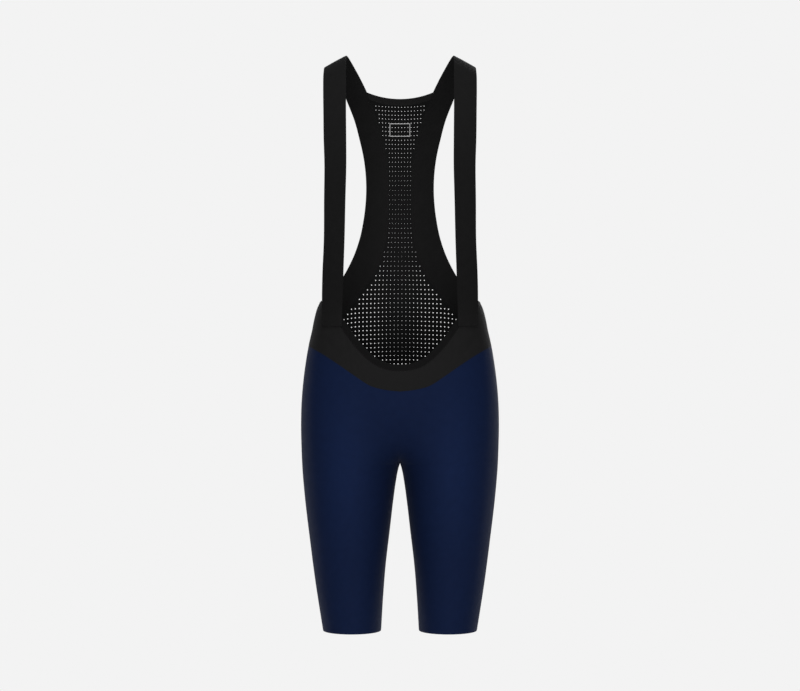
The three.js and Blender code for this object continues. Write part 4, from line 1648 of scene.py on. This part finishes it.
@dataclass
class Studio:
    """The pale room, its soft lights and the camera at the photograph's place."""

    camera_distance: float = 4.0
    camera_level: float = -0.422
    lens: float = 120.0
    background: float = 0.896
    room_light: float = 0.20
    floor_level: float = -1.25
    floor_radius: float = 2.3
    floor_tone: float = 0.86
    floor_fade: tuple[float, float] = (0.72, 1.12)
    floor_rings: int = 24
    floor_spokes: int = 96

    def build(self) -> None:
        """Sets up the camera, the room and the lights."""
        scene = bpy.context.scene
        scene.view_settings.view_transform = "Standard"
        scene.view_settings.look = "None"
        data = bpy.data.cameras.new("photo_camera")
        data.lens, data.sensor_width = self.lens, 36.0
        data.clip_start, data.clip_end = 0.05, 60.0
        camera = bpy.data.objects.new("photo_camera", data)
        camera.location = (0.0, -self.camera_distance, self.camera_level)
        camera.rotation_euler = (math.pi / 2, 0.0, 0.0)
        scene.collection.objects.link(camera)
        scene.camera = camera
        self.room(scene)
        self.floor(scene)
        self.softbox("front_softbox", (-0.4, -3.8, 0.5), (2.0, 2.4), 76.0)
        self.softbox("fill_softbox", (1.2, -3.6, -0.6), (1.4, 2.2), 28.0)
        for sign, name in ((-1, "right"), (1, "left")):
            self.softbox(f"rim_strip_{name}", (sign * 2.0, 2.3, -0.3), (0.5, 2.4), 13.0)
        self.softbox("back_softbox", (0.6, 3.4, 0.8), (2.4, 2.4), 92.0)
        self.softbox("top_softbox", (0.0, -1.1, 2.6), (1.8, 1.2), 58.0)

    def room(self, scene: bpy.types.Scene) -> None:
        """The plain pale surroundings, dimmer as a light than they look.

        Args:
            scene: the scene.
        """
        world = bpy.data.worlds.new("pale_room")
        scene.world = world
        world.use_nodes = True
        nodes, links = world.node_tree.nodes, world.node_tree.links
        light = nodes["Background"]
        light.inputs["Color"].default_value = (1.0, 1.0, 1.0, 1.0)
        light.inputs["Strength"].default_value = self.room_light
        seen = nodes.new("ShaderNodeBackground")
        seen.inputs["Color"].default_value = (self.background, self.background, self.background, 1.0)
        path = nodes.new("ShaderNodeLightPath")
        blend = nodes.new("ShaderNodeMixShader")
        links.new(path.outputs["Is Camera Ray"], blend.inputs["Fac"])
        links.new(light.outputs["Background"], blend.inputs[1])
        links.new(seen.outputs["Background"], blend.inputs[2])
        links.new(blend.outputs["Shader"], nodes["World Output"].inputs["Surface"])

    def floor(self, scene: bpy.types.Scene) -> None:
        """A pale round floor that fades out at its edge.

        Args:
            scene: the scene.
        """
        rings, spokes = self.floor_rings, self.floor_spokes
        points, faces = [(0.0, 0.0, self.floor_level)], []
        for ring in range(1, rings + 1):
            for spoke in range(spokes):
                turn = spoke * 2 * math.pi / spokes
                radius = self.floor_radius * ring / rings
                points.append((radius * math.cos(turn), radius * math.sin(turn), self.floor_level))
        for spoke in range(spokes):
            after = (spoke + 1) % spokes
            faces.append([0, 1 + spoke, 1 + after])
            for ring in range(rings - 1):
                a, b = 1 + ring * spokes, 1 + (ring + 1) * spokes
                faces.append([a + spoke, b + spoke, b + after, a + after])
        mesh = bpy.data.meshes.new("floor")
        mesh.from_pydata(points, [], faces)
        floor = bpy.data.objects.new("floor", mesh)
        scene.collection.objects.link(floor)
        made = bpy.data.materials.new("pale floor")
        made.use_nodes = True
        nodes, links = made.node_tree.nodes, made.node_tree.links
        shader = nodes["Principled BSDF"]
        shader.inputs["Base Color"].default_value = (*[self.floor_tone] * 3, 1.0)
        shader.inputs["Roughness"].default_value = 0.9
        shader.inputs["Specular IOR Level"].default_value = 0.1
        place = nodes.new("ShaderNodeTexCoord")
        far = nodes.new("ShaderNodeVectorMath")
        far.operation = "LENGTH"
        links.new(place.outputs["Object"], far.inputs[0])
        fade = nodes.new("ShaderNodeMapRange")
        fade.interpolation_type = "SMOOTHSTEP"
        fade.inputs["From Min"].default_value = self.floor_radius * self.floor_fade[0]
        fade.inputs["From Max"].default_value = self.floor_radius * self.floor_fade[1]
        links.new(far.outputs["Value"], fade.inputs["Value"])
        clear = nodes.new("ShaderNodeBsdfTransparent")
        blend = nodes.new("ShaderNodeMixShader")
        links.new(fade.outputs["Result"], blend.inputs["Fac"])
        links.new(shader.outputs["BSDF"], blend.inputs[1])
        links.new(clear.outputs["BSDF"], blend.inputs[2])
        links.new(blend.outputs["Shader"], nodes["Material Output"].inputs["Surface"])
        mesh.materials.append(made)

    def softbox(
        self, name: str, place: tuple[float, float, float], size: tuple[float, float], power: float
    ) -> None:
        """One area light aimed at the garment.

        Args:
            name: the light's name.
            place: where it stands.
            size: its width and height.
            power: its power in watts.
        """
        data = bpy.data.lights.new(name, "AREA")
        data.shape = "RECTANGLE"
        data.size, data.size_y = size
        data.energy = power
        light = bpy.data.objects.new(name, data)
        light.location = place
        aim = Vector((0.0, 0.0, self.camera_level)) - Vector(place)
        light.rotation_euler = aim.to_track_quat("-Z", "Y").to_euler()
        light.visible_camera = False
        bpy.context.scene.collection.objects.link(light)


def main() -> None:
    """Builds the studio and the garment, piece by piece."""
    logging.basicConfig(level=logging.INFO, format="%(name)s: %(message)s")
    Studio().build()
    figure = Figure()
    NavyShort(figure, Side.FRONT, "front", flat=(0.40, 0.43), area=0.1160).build()
    NavyShort(figure, Side.BACK, "back", flat=(0.42, 0.43), area=0.1200).build()
    WaistFront(figure).build()
    right = Strap(figure, -1, "strap_right")
    left = Strap(figure, 1, "strap_left")
    right.build()
    left.build()
    MeshBack(figure, left).build()
    LongSeams(figure).build()


if __name__ == "__main__":
    main()
